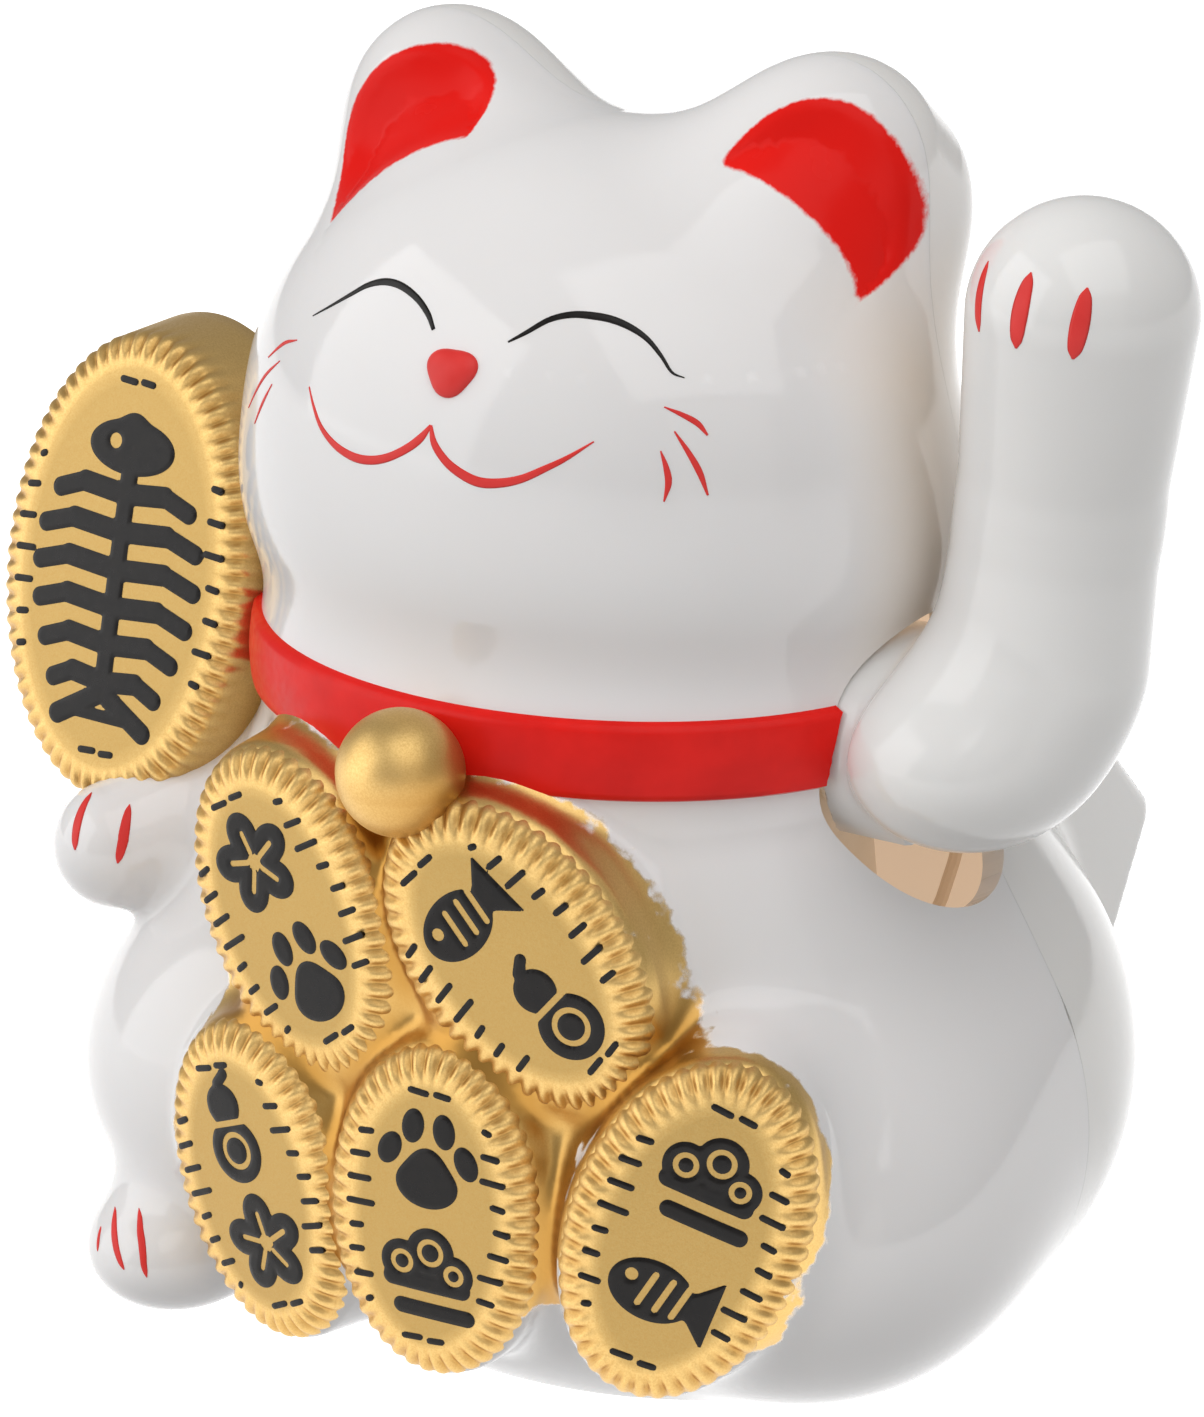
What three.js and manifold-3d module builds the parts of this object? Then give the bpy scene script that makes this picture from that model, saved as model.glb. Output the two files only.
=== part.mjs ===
// Solar beckoning cat figurine: hollow two-part shell, painted coins, swinging arm and its movement.
// Millimetres, +Z up, ground at z = 0, the cat faces -Y and its raised left arm is on the +X side.
import * as THREE from "three";
import { mergeVertices } from "three/addons/utils/BufferGeometryUtils.js";
import Module from "manifold-3d";

const wasm = await Module();
wasm.setup();

// ---- driving dimensions ----
const WALL = 2; // moulded wall of the two shell halves
const GAP = 0.3; // clearance between pieces that touch on the real object
const SEAM_Y = 4.7; // vertical plane where the front and rear halves meet
const OUTSIDE = { rings: 25, sides: 36 }; // facet rows and columns of the skin
const INSIDE = { rings: 17, sides: 28 }; // and of the cavity

const HEAD = { c: [0, 2, 74], r: [29.5, 25, 22] };
const JOWL = { c: [0, 2, 66], r: [28.8, 24.5, 16] };
const NECK = { c: [0, 1, 54], r: [28, 24.3, 14] };
const BODY = { c: [0, 6.5, 22], r: [39, 34, 29] };
const CHEST = { c: [0, 1, 43], r: [27.5, 24, 20] };
const THIGH = { c: [24, -7, 20], r: [17.5, 18, 18] };
const EAR = { a: [16.3, 7, 86], b: [17.5, 6.5, 94], ra: 10.3, rb: 7.2 };
const EAR_DISH = { c: [17.4, -8.6, 91.3], r: [9.2, 11.2, 9.6] }; // hollow of the ear's front
const FOOT = { c: [-27.3, -20.5, 5.2], r: [5.6, 8.5, 5.2] };
const FORELEG = { a: [-24, 0, 41], b: [-35.4, -15.5, 35.2], ra: 7, rb: 5.2 };

const PIVOT = { y: -0.5, z: 53 }; // axle of the waving arm, along X
const SLOT = { y: 0.5, z: 51.6, ry: 10, rz: 10.9 }; // shoulder opening
const LOBE = { c: [33.9, -2.9, 55.9], r: [9.6, 9.9, 9.5] };
const ARM_LOW = { a: [35.2, -2.8, 57.4], b: [39.3, -0.4, 70], ra: 7.9, rb: 7.3 };
const ARM_HIGH = { a: [39.3, -0.2, 70], b: [40.1, -0.4, 86.3], ra: 7.5, rb: 8.4 };
const ARM_WALL = 1.6;
const ARM_FACE = { x: 27.3, z: 56, lean: 18, top: 67.5 }; // flat inner side, leaning out from z to top
const NECK_TUBE = { x0: 22.6, x1: 31, r: 6.3, bore: 4.9 };
const AXLE = { x0: -6.5, x1: 27.6, r: 1.25 };

const COLLAR = { z0: 51.2, z1: 57.4, out: 0.8, groove: 0.5 };
const BELL = { c: [0, -26.8, 53.2], r: 4.7 };

// centre, yaw, pitch, roll in degrees, half width, half height, front and back depth; nearest to the front first
const COINS = [
  ["coin_lower_middle", [3.9, -25, 19.9], 6.5, -2.5, 1, 8.8, 13.1, 5, 8],
  ["coin_lower_left", [-12.2, -23.6, 17.6], -7, 0, -15, 8.85, 12.8, 5, 8],
  ["coin_lower_right", [23.5, -23.5, 22.8], 22, -5, 20, 8.75, 13.5, 5, 8],
  ["coin_upper_right", [9.1, -22.3, 40.4], 11, -1, -40, 8.8, 12.8, 5, 8],
  ["coin_upper_left", [-9.7, -22.3, 39.5], -4, -1, -24, 9.1, 12.9, 5, 8],
  ["big_coin", [-37.5, -9.5, 57], -2.5, -13, 0, 12.3, 18.5, 2, 7],
];
const COIN_FLARE = 0.11; // widening of a coin's side for each millimetre towards the body

const PLATE_TOP = 3;
const FRAME = { floor: [3.3, 5.1], cheeks: [-4, 20], t: 1.6, y0: -8.5, y1: 14 };
const LEVER_X = 8; // swing plane of the lever
const HOUSING = { y: 46.6, z: 32.3, tilt: 43, half: 25, length: 22 };

// ---- materials ----
const paint = (color, metalness, roughness) =>
  new THREE.MeshStandardMaterial({ color, metalness, roughness });
const WHITE = paint(0xf1efec, 0, 0.25);
const GOLD = paint(0xc9973a, 0.8, 0.35);
const RED = paint(0xd8241c, 0, 0.35);
const STEEL = paint(0xb9bcc0, 1, 0.3);
const CREAM = paint(0xe9e4d6, 0, 0.5);
const BLACK = paint(0x17181a, 0, 0.5);
const GREEN = paint(0x1f6b3a, 0, 0.5);
const COPPER = paint(0xb5622c, 0.9, 0.35);
const BLUE = paint(0x14213f, 0.2, 0.3);
const CLEAR = paint(0xdfe8ee, 0, 0.05);

// ---- distance fields of the modelled blobs ----
const ellipsoid =
  ({ c, r }) =>
  (x, y, z) => {
    const u = [(x - c[0]) / r[0], (y - c[1]) / r[1], (z - c[2]) / r[2]];
    const k0 = Math.hypot(...u);
    const k1 = Math.hypot(u[0] / r[0], u[1] / r[1], u[2] / r[2]);
    return (k0 * (k0 - 1)) / Math.max(k1, 1e-9);
  };
const capsule =
  ({ a, b, ra, rb }) =>
  (x, y, z) => {
    const d = [b[0] - a[0], b[1] - a[1], b[2] - a[2]];
    const q = [x - a[0], y - a[1], z - a[2]];
    const dd = d[0] * d[0] + d[1] * d[1] + d[2] * d[2];
    const t = Math.min(1, Math.max(0, (q[0] * d[0] + q[1] * d[1] + q[2] * d[2]) / dd));
    return Math.hypot(q[0] - t * d[0], q[1] - t * d[1], q[2] - t * d[2]) - ra - (rb - ra) * t;
  };
const blend = (k, f, g) => (x, y, z) => {
  const a = f(x, y, z);
  const b = g(x, y, z);
  const h = Math.max(k - Math.abs(a - b), 0) / k;
  return Math.min(a, b) - (h * h * k) / 4;
};
const mirrored = (f) => (x, y, z) => f(Math.abs(x), y, z);

const torso = blend(6, blend(12, ellipsoid(BODY), ellipsoid(CHEST)), ellipsoid(THIGH));
const skull = blend(4, blend(4, ellipsoid(HEAD), ellipsoid(JOWL)), ellipsoid(NECK));
const bodyField = mirrored(blend(3, torso, skull));
const earField = capsule(EAR);
const armField = blend(5, blend(5, ellipsoid(LOBE), capsule(ARM_LOW)), capsule(ARM_HIGH));

// ---- solids ----
// One closed solid of a geometry, turned outwards if its faces point in.
function solid(geometry, matrix) {
  const bare = (geometry.index ? geometry.toNonIndexed() : geometry).clone();
  const plain = new THREE.BufferGeometry().setAttribute("position", bare.attributes.position);
  if (matrix) plain.applyMatrix4(matrix);
  const merged = mergeVertices(plain, 1e-4);
  const p = merged.attributes.position.array;
  const tris = [];
  let volume = 0;
  const at = (i) => new THREE.Vector3(p[3 * i], p[3 * i + 1], p[3 * i + 2]);
  for (let i = 0; i < merged.index.count; i += 3) {
    const t = [0, 1, 2].map((k) => merged.index.array[i + k]);
    if (t[0] === t[1] || t[1] === t[2] || t[0] === t[2]) continue;
    tris.push(t);
    volume += at(t[0]).dot(at(t[1]).cross(at(t[2])));
  }
  if (volume < 0) tris.forEach((t) => t.reverse());
  const mesh = new wasm.Mesh({ numProp: 3, vertProperties: p, triVerts: new Uint32Array(tris.flat()) });
  return new wasm.Manifold(mesh);
}

// Where a field passes a level, going out from inside along one direction.
function reach(field, level, from, dir) {
  let lo = 0;
  let hi = 60;
  for (let i = 0; i < 30; i++) {
    const mid = (lo + hi) / 2;
    const inside = field(from[0] + dir[0] * mid, from[1] + dir[1] * mid, from[2] + dir[2] * mid) < level;
    if (inside) lo = mid;
    else hi = mid;
  }
  return (lo + hi) / 2;
}

// Rings round a vertical centre line, each point on the field's level surface.
// spread maps 0..1 to 0..1 up the height; both ends close on one point of the centre line.
function ringSolid(field, level, centre, z0, z1, rings, sides, spread) {
  const points = [];
  const tris = [];
  for (let i = 0; i <= rings; i++) {
    const z = z0 + (z1 - z0) * spread(i / rings);
    const [cx, cy] = centre(z);
    for (let j = 0; j < sides; j++) {
      const a = (2 * Math.PI * j) / sides;
      const dir = [Math.cos(a), Math.sin(a), 0];
      const r = field(cx, cy, z) < level ? reach(field, level, [cx, cy, z], dir) : 0;
      points.push([cx + dir[0] * r, cy + dir[1] * r, z]);
    }
  }
  const row = (i, j) => i * sides + (j % sides);
  for (let i = 0; i < rings; i++)
    for (let j = 0; j < sides; j++) {
      tris.push([row(i, j), row(i, j + 1), row(i + 1, j + 1)]);
      tris.push([row(i, j), row(i + 1, j + 1), row(i + 1, j)]);
    }
  for (const [i, z] of [[0, z0], [rings, z1]]) {
    const tip = points.push([...centre(z), z]) - 1;
    for (let j = 0; j < sides; j++)
      tris.push(i ? [tip, row(i, j), row(i, j + 1)] : [tip, row(i, j + 1), row(i, j)]);
  }
  const g = new THREE.BufferGeometry();
  g.setAttribute("position", new THREE.Float32BufferAttribute(points.flat(), 3));
  g.setIndex(tris.flat());
  return solid(g);
}

const denseTop = (t) => 1 - (1 - t) ** 1.5;
const denseEnds = (t) => (1 - Math.cos(Math.PI * t)) / 2;

const bodyCentre = (z) => [0, 5 - 3 * Math.min(1, Math.max(0, z / 74))];
function bodySolid(level, z0 = 0, { rings, sides } = OUTSIDE) {
  const top = 74 + reach(bodyField, level, [0, 2, 74], [0, 0, 1]);
  return ringSolid(bodyField, level, bodyCentre, z0, top, rings, sides, denseTop);
}
function earSolid(level, side, sides) {
  const f = (x, y, z) => earField(x * side, y, z);
  const centre = (z) => [side * (16.3 + Math.max(0, Math.min(1.2, (z - 86) * 0.15))), 6.75];
  const top = 94 + reach(f, level, [side * 17.5, 6.75, 94], [0, 0, 1]);
  return ringSolid(f, level, centre, 79, top, 7, sides, denseTop);
}
// An ear with its front dished: the dish is grown by the wall where the cavity needs to stay behind it.
function dishedEar(level, side, sides) {
  const c = [side * EAR_DISH.c[0], EAR_DISH.c[1], EAR_DISH.c[2]];
  return earSolid(level, side, sides).subtract(ball(c, EAR_DISH.r.map((r) => r - level), 20, 14));
}
const armCentre = (z) => {
  const t = Math.min(1, Math.max(0, (z - 56) / 14));
  return [34.3 + 4.3 * t, -1 + 1.6 * t];
};
function armSolid(level) {
  const low = 55.5 - reach(armField, level, [34.3, -1, 55.5], [0, 0, -1]);
  const high = 86 + reach(armField, level, [38.6, 0.6, 86], [0, 0, 1]);
  return ringSolid(armField, level, armCentre, low, high, 18, 24, denseEnds);
}

const move = (x, y, z) => new THREE.Matrix4().makeTranslation(x, y, z);
const turn = (axis, deg) => {
  const v = new THREE.Vector3(axis === "x" ? 1 : 0, axis === "y" ? 1 : 0, axis === "z" ? 1 : 0);
  return new THREE.Matrix4().makeRotationAxis(v, (deg * Math.PI) / 180);
};
const box = (x0, x1, y0, y1, z0, z1, matrix) => {
  const m = move((x0 + x1) / 2, (y0 + y1) / 2, (z0 + z1) / 2);
  const g = new THREE.BoxGeometry(x1 - x0, y1 - y0, z1 - z0).applyMatrix4(m);
  return solid(g, matrix);
};
const lathe = (profile, sides, matrix) => {
  const points = profile.map(([r, y]) => new THREE.Vector2(r, y));
  return solid(new THREE.LatheGeometry([...points, points[0]], sides), matrix);
};
// A round bar or tube between two heights along X or Z through a point.
function round(axis, at, from, to, r, sides = 24, inner = 0) {
  const shape = [[inner, from], [r, from], [r, to], [inner, to]];
  const pose = axis === "x" ? move(0, at[0], at[1]).multiply(turn("z", -90)) : move(...at, 0).multiply(turn("x", 90));
  return lathe(shape, sides, pose);
}
const ball = (c, r, across, down) => {
  const g = new THREE.SphereGeometry(1, across, down).rotateX(Math.PI / 2);
  return solid(g, move(...c).multiply(new THREE.Matrix4().makeScale(...r)));
};
// A capsule between two points: half-circle ends and a straight side, about its own axis.
function capsuleSolid({ a, b, ra, rb }, shrink, sides) {
  const from = new THREE.Vector3(...a);
  const along = new THREE.Vector3(...b).sub(from);
  const length = along.length();
  const profile = [];
  for (let i = 0; i <= 6; i++) {
    const t = (i / 6) * (Math.PI / 2);
    profile.push([(ra - shrink) * Math.sin(t), -(ra - shrink) * Math.cos(t)]);
  }
  for (let i = 0; i <= 6; i++) {
    const t = (i / 6) * (Math.PI / 2);
    profile.push([(rb - shrink) * Math.cos(t), length + (rb - shrink) * Math.sin(t)]);
  }
  const q = new THREE.Quaternion().setFromUnitVectors(new THREE.Vector3(0, 1, 0), along.normalize());
  const pose = new THREE.Matrix4().compose(from, q, new THREE.Vector3(1, 1, 1));
  return lathe(profile, sides, pose);
}
const joined = (list) => list.reduce((a, b) => a.add(b));
const without = (first, list) => list.reduce((a, b) => a.subtract(b), first);

// ---- solar housing on the back, in the frame of its slanted top face ----
const slope = (() => {
  const t = (HOUSING.tilt * Math.PI) / 180;
  const u = new THREE.Vector3(1, 0, 0);
  const v = new THREE.Vector3(0, -Math.cos(t), Math.sin(t));
  const n = new THREE.Vector3(0, Math.sin(t), Math.cos(t));
  return move(0, HOUSING.y, HOUSING.z).multiply(new THREE.Matrix4().makeBasis(u, v, n));
})();
function housingSolid(inset, length) {
  const t = (HOUSING.tilt * Math.PI) / 180;
  const up = (v) => [HOUSING.y - v * Math.cos(t), HOUSING.z + v * Math.sin(t)];
  const corner = up(inset);
  const top = up(length - inset);
  const s = new THREE.Shape();
  const inward = [-inset * Math.sin(t), -inset * Math.cos(t)];
  s.moveTo(corner[0] + inward[0], corner[1] + inward[1]);
  s.lineTo(top[0] + inward[0], top[1] + inward[1]);
  s.lineTo(20, top[1] + inward[1]);
  s.lineTo(20, 17 + inset);
  s.lineTo(36.6 - inset * 1.2, 17 + inset);
  s.closePath();
  const half = HOUSING.half - inset;
  const g = new THREE.ExtrudeGeometry(s, { depth: 2 * half, bevelEnabled: false });
  const basis = new THREE.Matrix4().makeBasis(
    new THREE.Vector3(0, 1, 0),
    new THREE.Vector3(0, 0, 1),
    new THREE.Vector3(1, 0, 0),
  );
  return solid(g, move(-half, 0, 0).multiply(basis));
}

// ---- shells ----
const skin = bodySolid(0);
const skinClear = bodySolid(GAP);
const cavity = joined([
  bodySolid(-WALL, -2, INSIDE),
  dishedEar(-WALL, 1, 12),
  dishedEar(-WALL, -1, 12),
  housingSolid(WALL, HOUSING.length),
  capsuleSolid(FORELEG, 1.8, 14),
]);
const foreleg = capsuleSolid(FORELEG, 0, 20);
const forelegClear = capsuleSolid(FORELEG, -GAP, 20);
const foot = ball(FOOT.c, FOOT.r, 20, 12);
const footClear = ball(FOOT.c, FOOT.r.map((r) => r + GAP), 20, 12);
const slot = (() => {
  const g = new THREE.CylinderGeometry(1, 1, 44, 36).rotateZ(-Math.PI / 2);
  const scale = new THREE.Matrix4().makeScale(1, SLOT.ry, SLOT.rz);
  return solid(g, move(38, SLOT.y, SLOT.z).multiply(scale));
})();
const collarBand = (from, to, z0, z1) =>
  bodySolid(to).subtract(bodySolid(from)).intersect(box(-60, 60, -60, 60, z0, z1));
const opening = box(-18.3, 18.3, 3.1, 18.9, -4, 4, slope);

const outer = joined([skin, dishedEar(0, 1, 18), dishedEar(0, -1, 18), housingSolid(0, HOUSING.length)]);
const shell = without(joined([outer, foreleg, foot]), [
  cavity,
  slot,
  opening,
  collarBand(-COLLAR.groove, 3, COLLAR.z0 - GAP, COLLAR.z1 + GAP).subtract(forelegClear),
  box(-60, 60, -60, 60, -10, 0),
]);
const frontHalf = box(-80, 80, -80, SEAM_Y - GAP / 2, -10, 120);
const rearHalf = box(-80, 80, SEAM_Y + GAP / 2, 80, -10, 120);

// ---- collar, bell and coins ----
const collar = without(collarBand(-COLLAR.groove + GAP, COLLAR.out, COLLAR.z0, COLLAR.z1), [
  slot,
  forelegClear,
]);
const collarClear = collarBand(-1, COLLAR.out + GAP, COLLAR.z0 - GAP, COLLAR.z1 + GAP);

function coinSolid([, c, yaw, pitch, roll, a, b, front, back], grow) {
  const edge = 1 - 1.3 / a;
  const rim = 1 - 2.2 / a;
  const f = -front - grow;
  const wide = 1 + (COIN_FLARE * (front + back)) / a;
  const profile = [
    [0, back + grow],
    [wide, back + grow],
    [1, f + 1.1],
    [edge, f],
    [rim, f],
    [rim - 0.04, f + (grow ? 0 : 0.5)],
    [0, f + (grow ? 0 : 0.5)],
  ];
  const pose = move(...c).multiply(turn("z", yaw)).multiply(turn("x", pitch)).multiply(turn("y", roll));
  const size = new THREE.Matrix4().makeScale(a + grow, 1, b + grow);
  return lathe(profile, 32, pose.multiply(size));
}
const ground = box(-80, 80, -80, 80, -20, 0.6);
const earClear = [earSolid(GAP, 1, 18), earSolid(GAP, -1, 18)];
const bellClear = ball(BELL.c, [BELL.r + GAP, BELL.r + GAP, BELL.r + GAP], 24, 14);
const bell = without(ball(BELL.c, [BELL.r, BELL.r, BELL.r], 20, 12), [skinClear, collarClear]);
const coins = [];
for (const spec of COINS) {
  const earlier = coins.map((c) => c.clear);
  const made = without(coinSolid(spec, 0), [
    skinClear,
    collarClear,
    forelegClear,
    footClear,
    bellClear,
    ground,
    ...earClear,
    ...earlier,
  ]);
  const largest = made.decompose().sort((p, q) => q.volume() - p.volume())[0];
  coins.push({ name: spec[0], made: largest, clear: coinSolid(spec, GAP) });
}

// ---- waving arm ----
function armInside(level, inset) {
  const lean = move(ARM_FACE.x + inset, 0, ARM_FACE.z).multiply(turn("y", ARM_FACE.lean));
  return armSolid(level)
    .intersect(box(ARM_FACE.x + inset, 80, -40, 40, 0, 120))
    .subtract(box(-60, 0, -40, 40, -60, 60, lean).intersect(box(0, 80, -40, 40, 0, ARM_FACE.top)));
}
const neckAt = [PIVOT.y, PIVOT.z];
const wavingArm = without(armInside(0, 0).add(round("x", neckAt, NECK_TUBE.x0, NECK_TUBE.x1, NECK_TUBE.r, 28)), [
  armInside(-ARM_WALL, ARM_WALL),
  round("x", neckAt, 20, 34, NECK_TUBE.bore, 28),
]);
const hub = round("x", neckAt, 23.2, 28, NECK_TUBE.bore - 0.1, 28, AXLE.r + 0.05);
const axle = round("x", neckAt, AXLE.x0, AXLE.x1, AXLE.r, 24);

// ---- pendulum lever with magnet and counterweight ----
const lever = (() => {
  const s = new THREE.Shape();
  s.moveTo(-2.2, -2);
  s.lineTo(-1.6, -31);
  s.lineTo(1.6, -31);
  s.lineTo(2.2, -2);
  s.closePath();
  const basis = new THREE.Matrix4().makeBasis(
    new THREE.Vector3(0, 1, 0),
    new THREE.Vector3(0, 0, 1),
    new THREE.Vector3(1, 0, 0),
  );
  const plate = new THREE.ExtrudeGeometry(s, { depth: 1.6, bevelEnabled: false });
  const stem = solid(plate, move(LEVER_X - 0.8, PIVOT.y, PIVOT.z).multiply(basis));
  const boss = round("x", neckAt, LEVER_X - 3, LEVER_X + 3, 3.4, 24);
  const cup = round("z", [LEVER_X, PIVOT.y], 20.3, 22.3, 5.2, 28);
  const bore = round("x", neckAt, LEVER_X - 5, LEVER_X + 5, AXLE.r + 0.05, 24);
  return joined([stem, boss, cup]).subtract(bore);
})();
const magnet = round("z", [LEVER_X, PIVOT.y], 17, 20, 4.6, 28);
const counterweight = box(LEVER_X - 5, LEVER_X + 5, PIVOT.y - 3.96, PIVOT.y + 5.59, 25, 31).subtract(
  box(LEVER_X - 0.9, LEVER_X + 0.9, PIVOT.y - 2.4, PIVOT.y + 2.4, 20, 40),
);

// ---- movement frame, coil and circuit board on the base plate ----
const cheek = (x) => {
  const s = new THREE.Shape();
  s.moveTo(FRAME.y0 + 1, FRAME.floor[0]);
  s.lineTo(FRAME.y1 - 1, FRAME.floor[0]);
  s.lineTo(PIVOT.y + 4.6, PIVOT.z);
  s.absarc(PIVOT.y, PIVOT.z, 4.6, 0, Math.PI, false);
  s.closePath();
  const basis = new THREE.Matrix4().makeBasis(
    new THREE.Vector3(0, 1, 0),
    new THREE.Vector3(0, 0, 1),
    new THREE.Vector3(1, 0, 0),
  );
  const g = new THREE.ExtrudeGeometry(s, { depth: FRAME.t, bevelEnabled: false, curveSegments: 10 });
  return solid(g, move(x - FRAME.t / 2, 0, 0).multiply(basis));
};
const frameFloor = box(FRAME.cheeks[0] - 5, FRAME.cheeks[1] + 1, FRAME.y0, FRAME.y1, ...FRAME.floor);
const screwSpots = [
  [-6.5, -5],
  [-6.5, 11],
  [15, 3],
];
const movementFrame = without(joined([frameFloor, ...FRAME.cheeks.map(cheek)]), [
  round("x", neckAt, -12, 30, AXLE.r + 0.08, 24),
  ...screwSpots.map((s) => round("z", s, 0, 8, 1.25, 16)),
]);
const basePlate = (() => {
  const inside = bodySolid(-WALL - GAP - 0.05, -2, INSIDE);
  return without(inside.intersect(box(-60, 60, -60, 60, 0, PLATE_TOP)), screwSpots.flatMap((s) => [
    round("z", s, -1, PLATE_TOP + 1, 1.25, 16),
    round("z", s, -1, 1.6, 2.6, 20),
  ]));
})();
const screw = (s) => joined([round("z", s, 0.2, 1.4, 2.3, 20), round("z", s, 1.2, 5, 0.95, 16)]);
const board = box(-2.6, 18.6, -8.2, 13.7, 5.4, 6.9);
const bobbin = joined([
  round("z", [LEVER_X, PIVOT.y], 7.2, 8, 7.6, 28, 1.5),
  round("z", [LEVER_X, PIVOT.y], 7.2, 15.4, 3, 28, 1.5),
  round("z", [LEVER_X, PIVOT.y], 14.6, 15.4, 7.6, 28, 1.5),
]);
const coil = round("z", [LEVER_X, PIVOT.y], 8.3, 14.3, 7.2, 28, 3.3);
const capacitor = round("z", [1.4, 10.4], 7.2, 12.5, 2, 20);
const chip = box(12.2, 16.8, 8.8, 12.4, 7.2, 8.6);

// ---- solar cell behind its window ----
const solarWindow = box(-18, 18, 3.4, 18.6, -1.3, 0, slope);
const solarCell = box(-17.4, 17.4, 3.9, 18.1, -2.3, -1.6, slope);
const cellTray = box(-19.8, 19.8, 2.4, 19.6, -4.2, -2.6, slope);

function lead(x, drift) {
  const path = new THREE.CatmullRomCurve3([
    new THREE.Vector3(x + drift, 34.6, 34.4),
    new THREE.Vector3(x + drift, 29, 26),
    new THREE.Vector3(x, 22.5, 16),
    new THREE.Vector3(x, 14.9, 9.4),
    new THREE.Vector3(x, 12.4, 7.8),
  ]);
  const s = new THREE.Shape();
  s.absarc(0, 0, 0.55, 0, 2 * Math.PI, false);
  return solid(new THREE.ExtrudeGeometry(s, { steps: 12, extrudePath: path, curveSegments: 4 }));
}

// ---- the assembly ----
const assembly = new THREE.Group();
function place(name, body, material) {
  const mesh = body.getMesh();
  const g = new THREE.BufferGeometry();
  g.setAttribute("position", new THREE.Float32BufferAttribute(mesh.vertProperties, 3));
  g.setIndex(new THREE.BufferAttribute(mesh.triVerts, 1));
  g.computeVertexNormals();
  const m = new THREE.Mesh(g, material);
  m.name = name;
  assembly.add(m);
}
const main = (s) => s.decompose().sort((p, q) => q.volume() - p.volume())[0];

place("front_shell", main(shell.intersect(frontHalf)), WHITE);
place("rear_shell", main(shell.intersect(rearHalf)), WHITE);
place("base_plate", basePlate, WHITE);
place("collar_front", main(collar.intersect(frontHalf)), RED);
place("collar_rear", main(collar.intersect(rearHalf)), RED);
place("bell", main(bell), GOLD);
for (const c of coins) place(c.name, c.made, GOLD);
place("waving_arm", wavingArm, WHITE);
place("arm_hub", hub, CREAM);
place("arm_axle", axle, STEEL);
place("pendulum_lever", lever, CREAM);
place("counterweight", counterweight, STEEL);
place("magnet", magnet, STEEL);
place("movement_frame", movementFrame, CREAM);
place("circuit_board", board, GREEN);
place("coil_bobbin", bobbin, BLACK);
place("drive_coil", coil, COPPER);
place("capacitor", capacitor, BLACK);
place("driver_chip", chip, BLACK);
place("solar_window", solarWindow, CLEAR);
place("solar_cell", solarCell, BLUE);
place("cell_tray", cellTray, CREAM);
place("lead_red", lead(11, 3), RED);
place("lead_black", lead(5, -3), BLACK);
screwSpots.forEach((s, i) => place("base_screw_" + (i + 1), screw(s), STEEL));

export default assembly;
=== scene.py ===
import math

import bpy
import numpy as np
from mathutils import Matrix, Vector


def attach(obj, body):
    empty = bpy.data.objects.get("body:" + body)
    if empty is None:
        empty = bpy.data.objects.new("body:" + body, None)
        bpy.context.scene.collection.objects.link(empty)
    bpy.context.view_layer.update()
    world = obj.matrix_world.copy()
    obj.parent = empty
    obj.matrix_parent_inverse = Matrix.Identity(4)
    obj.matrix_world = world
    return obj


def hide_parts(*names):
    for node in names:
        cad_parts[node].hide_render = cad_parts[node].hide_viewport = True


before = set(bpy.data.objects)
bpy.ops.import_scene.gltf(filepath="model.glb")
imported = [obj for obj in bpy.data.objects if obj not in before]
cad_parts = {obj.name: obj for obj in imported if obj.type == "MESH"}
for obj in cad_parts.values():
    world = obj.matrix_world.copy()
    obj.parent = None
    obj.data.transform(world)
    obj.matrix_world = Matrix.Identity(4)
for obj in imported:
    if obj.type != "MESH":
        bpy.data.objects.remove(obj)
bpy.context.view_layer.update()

MM = 0.001

# ---------------------------------------------------------------- dimensions, in mm, in the part's own frame
SEAM_Y = 4.7
SEAM_GAP = 0.02
WALL = 2.0
EAR_WALL = 0.5
PIVOT = (-0.5, 53.0)
SLOT = (0.5, 51.6, 10.0, 10.9)
COLLAR = (51.2, 57.4)
BELL = ((0.35, -26.8, 52.9), 4.7)
HOUSE = dict(y=46.6, z=32.3, tilt=43.0, half=25.0, length=22.0)
# node, centre, yaw, pitch, roll, half width, half height, front depth, back depth
COINS = [
    ("coin_lower_middle", (3.9, -25, 19.9), 6.5, -2.5, 1, 8.8, 13.1, 5, 8),
    ("coin_lower_left", (-12.2, -23.6, 17.6), -7, 0, -15, 8.85, 12.8, 5, 8),
    ("coin_lower_right", (23.5, -23.5, 22.8), 22, -5, 20, 8.75, 13.5, 5, 8),
    ("coin_upper_right", (9.1, -22.3, 40.4), 11, -1, -40, 8.8, 12.8, 5, 8),
    ("coin_upper_left", (-9.7, -22.3, 39.5), -4, -1, -24, 9.1, 12.9, 5, 8),
]
BIG_COIN = ("big_coin", (-37.5, -9.5, 57), -2.5, -13, 0, 12.6, 18.8, 2, 7)
COIN_FLARE = 0.11


# ---------------------------------------------------------------- distance fields on arrays of points
def ellipsoid(p, c, r):
    q = p - np.array(c, float)
    r = np.array(r, float)
    k0 = np.linalg.norm(q / r, axis=-1)
    k1 = np.linalg.norm(q / (r * r), axis=-1)
    return k0 * (k0 - 1) / np.maximum(k1, 1e-9)


def capsule(p, a, b, ra, rb):
    a = np.array(a, float)
    ab = np.array(b, float) - a
    t = np.clip(((p - a) @ ab) / (ab @ ab), 0, 1)
    return np.linalg.norm(p - a - t[..., None] * ab, axis=-1) - (ra + (rb - ra) * t)


def smin(a, b, k):
    h = np.maximum(k - np.abs(a - b), 0) / k
    return np.minimum(a, b) - h * h * k / 4


def smax(a, b, k):
    return -smin(-a, -b, k)


def turn(axis, deg):
    return np.array(Matrix.Rotation(math.radians(deg), 3, axis))


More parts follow.
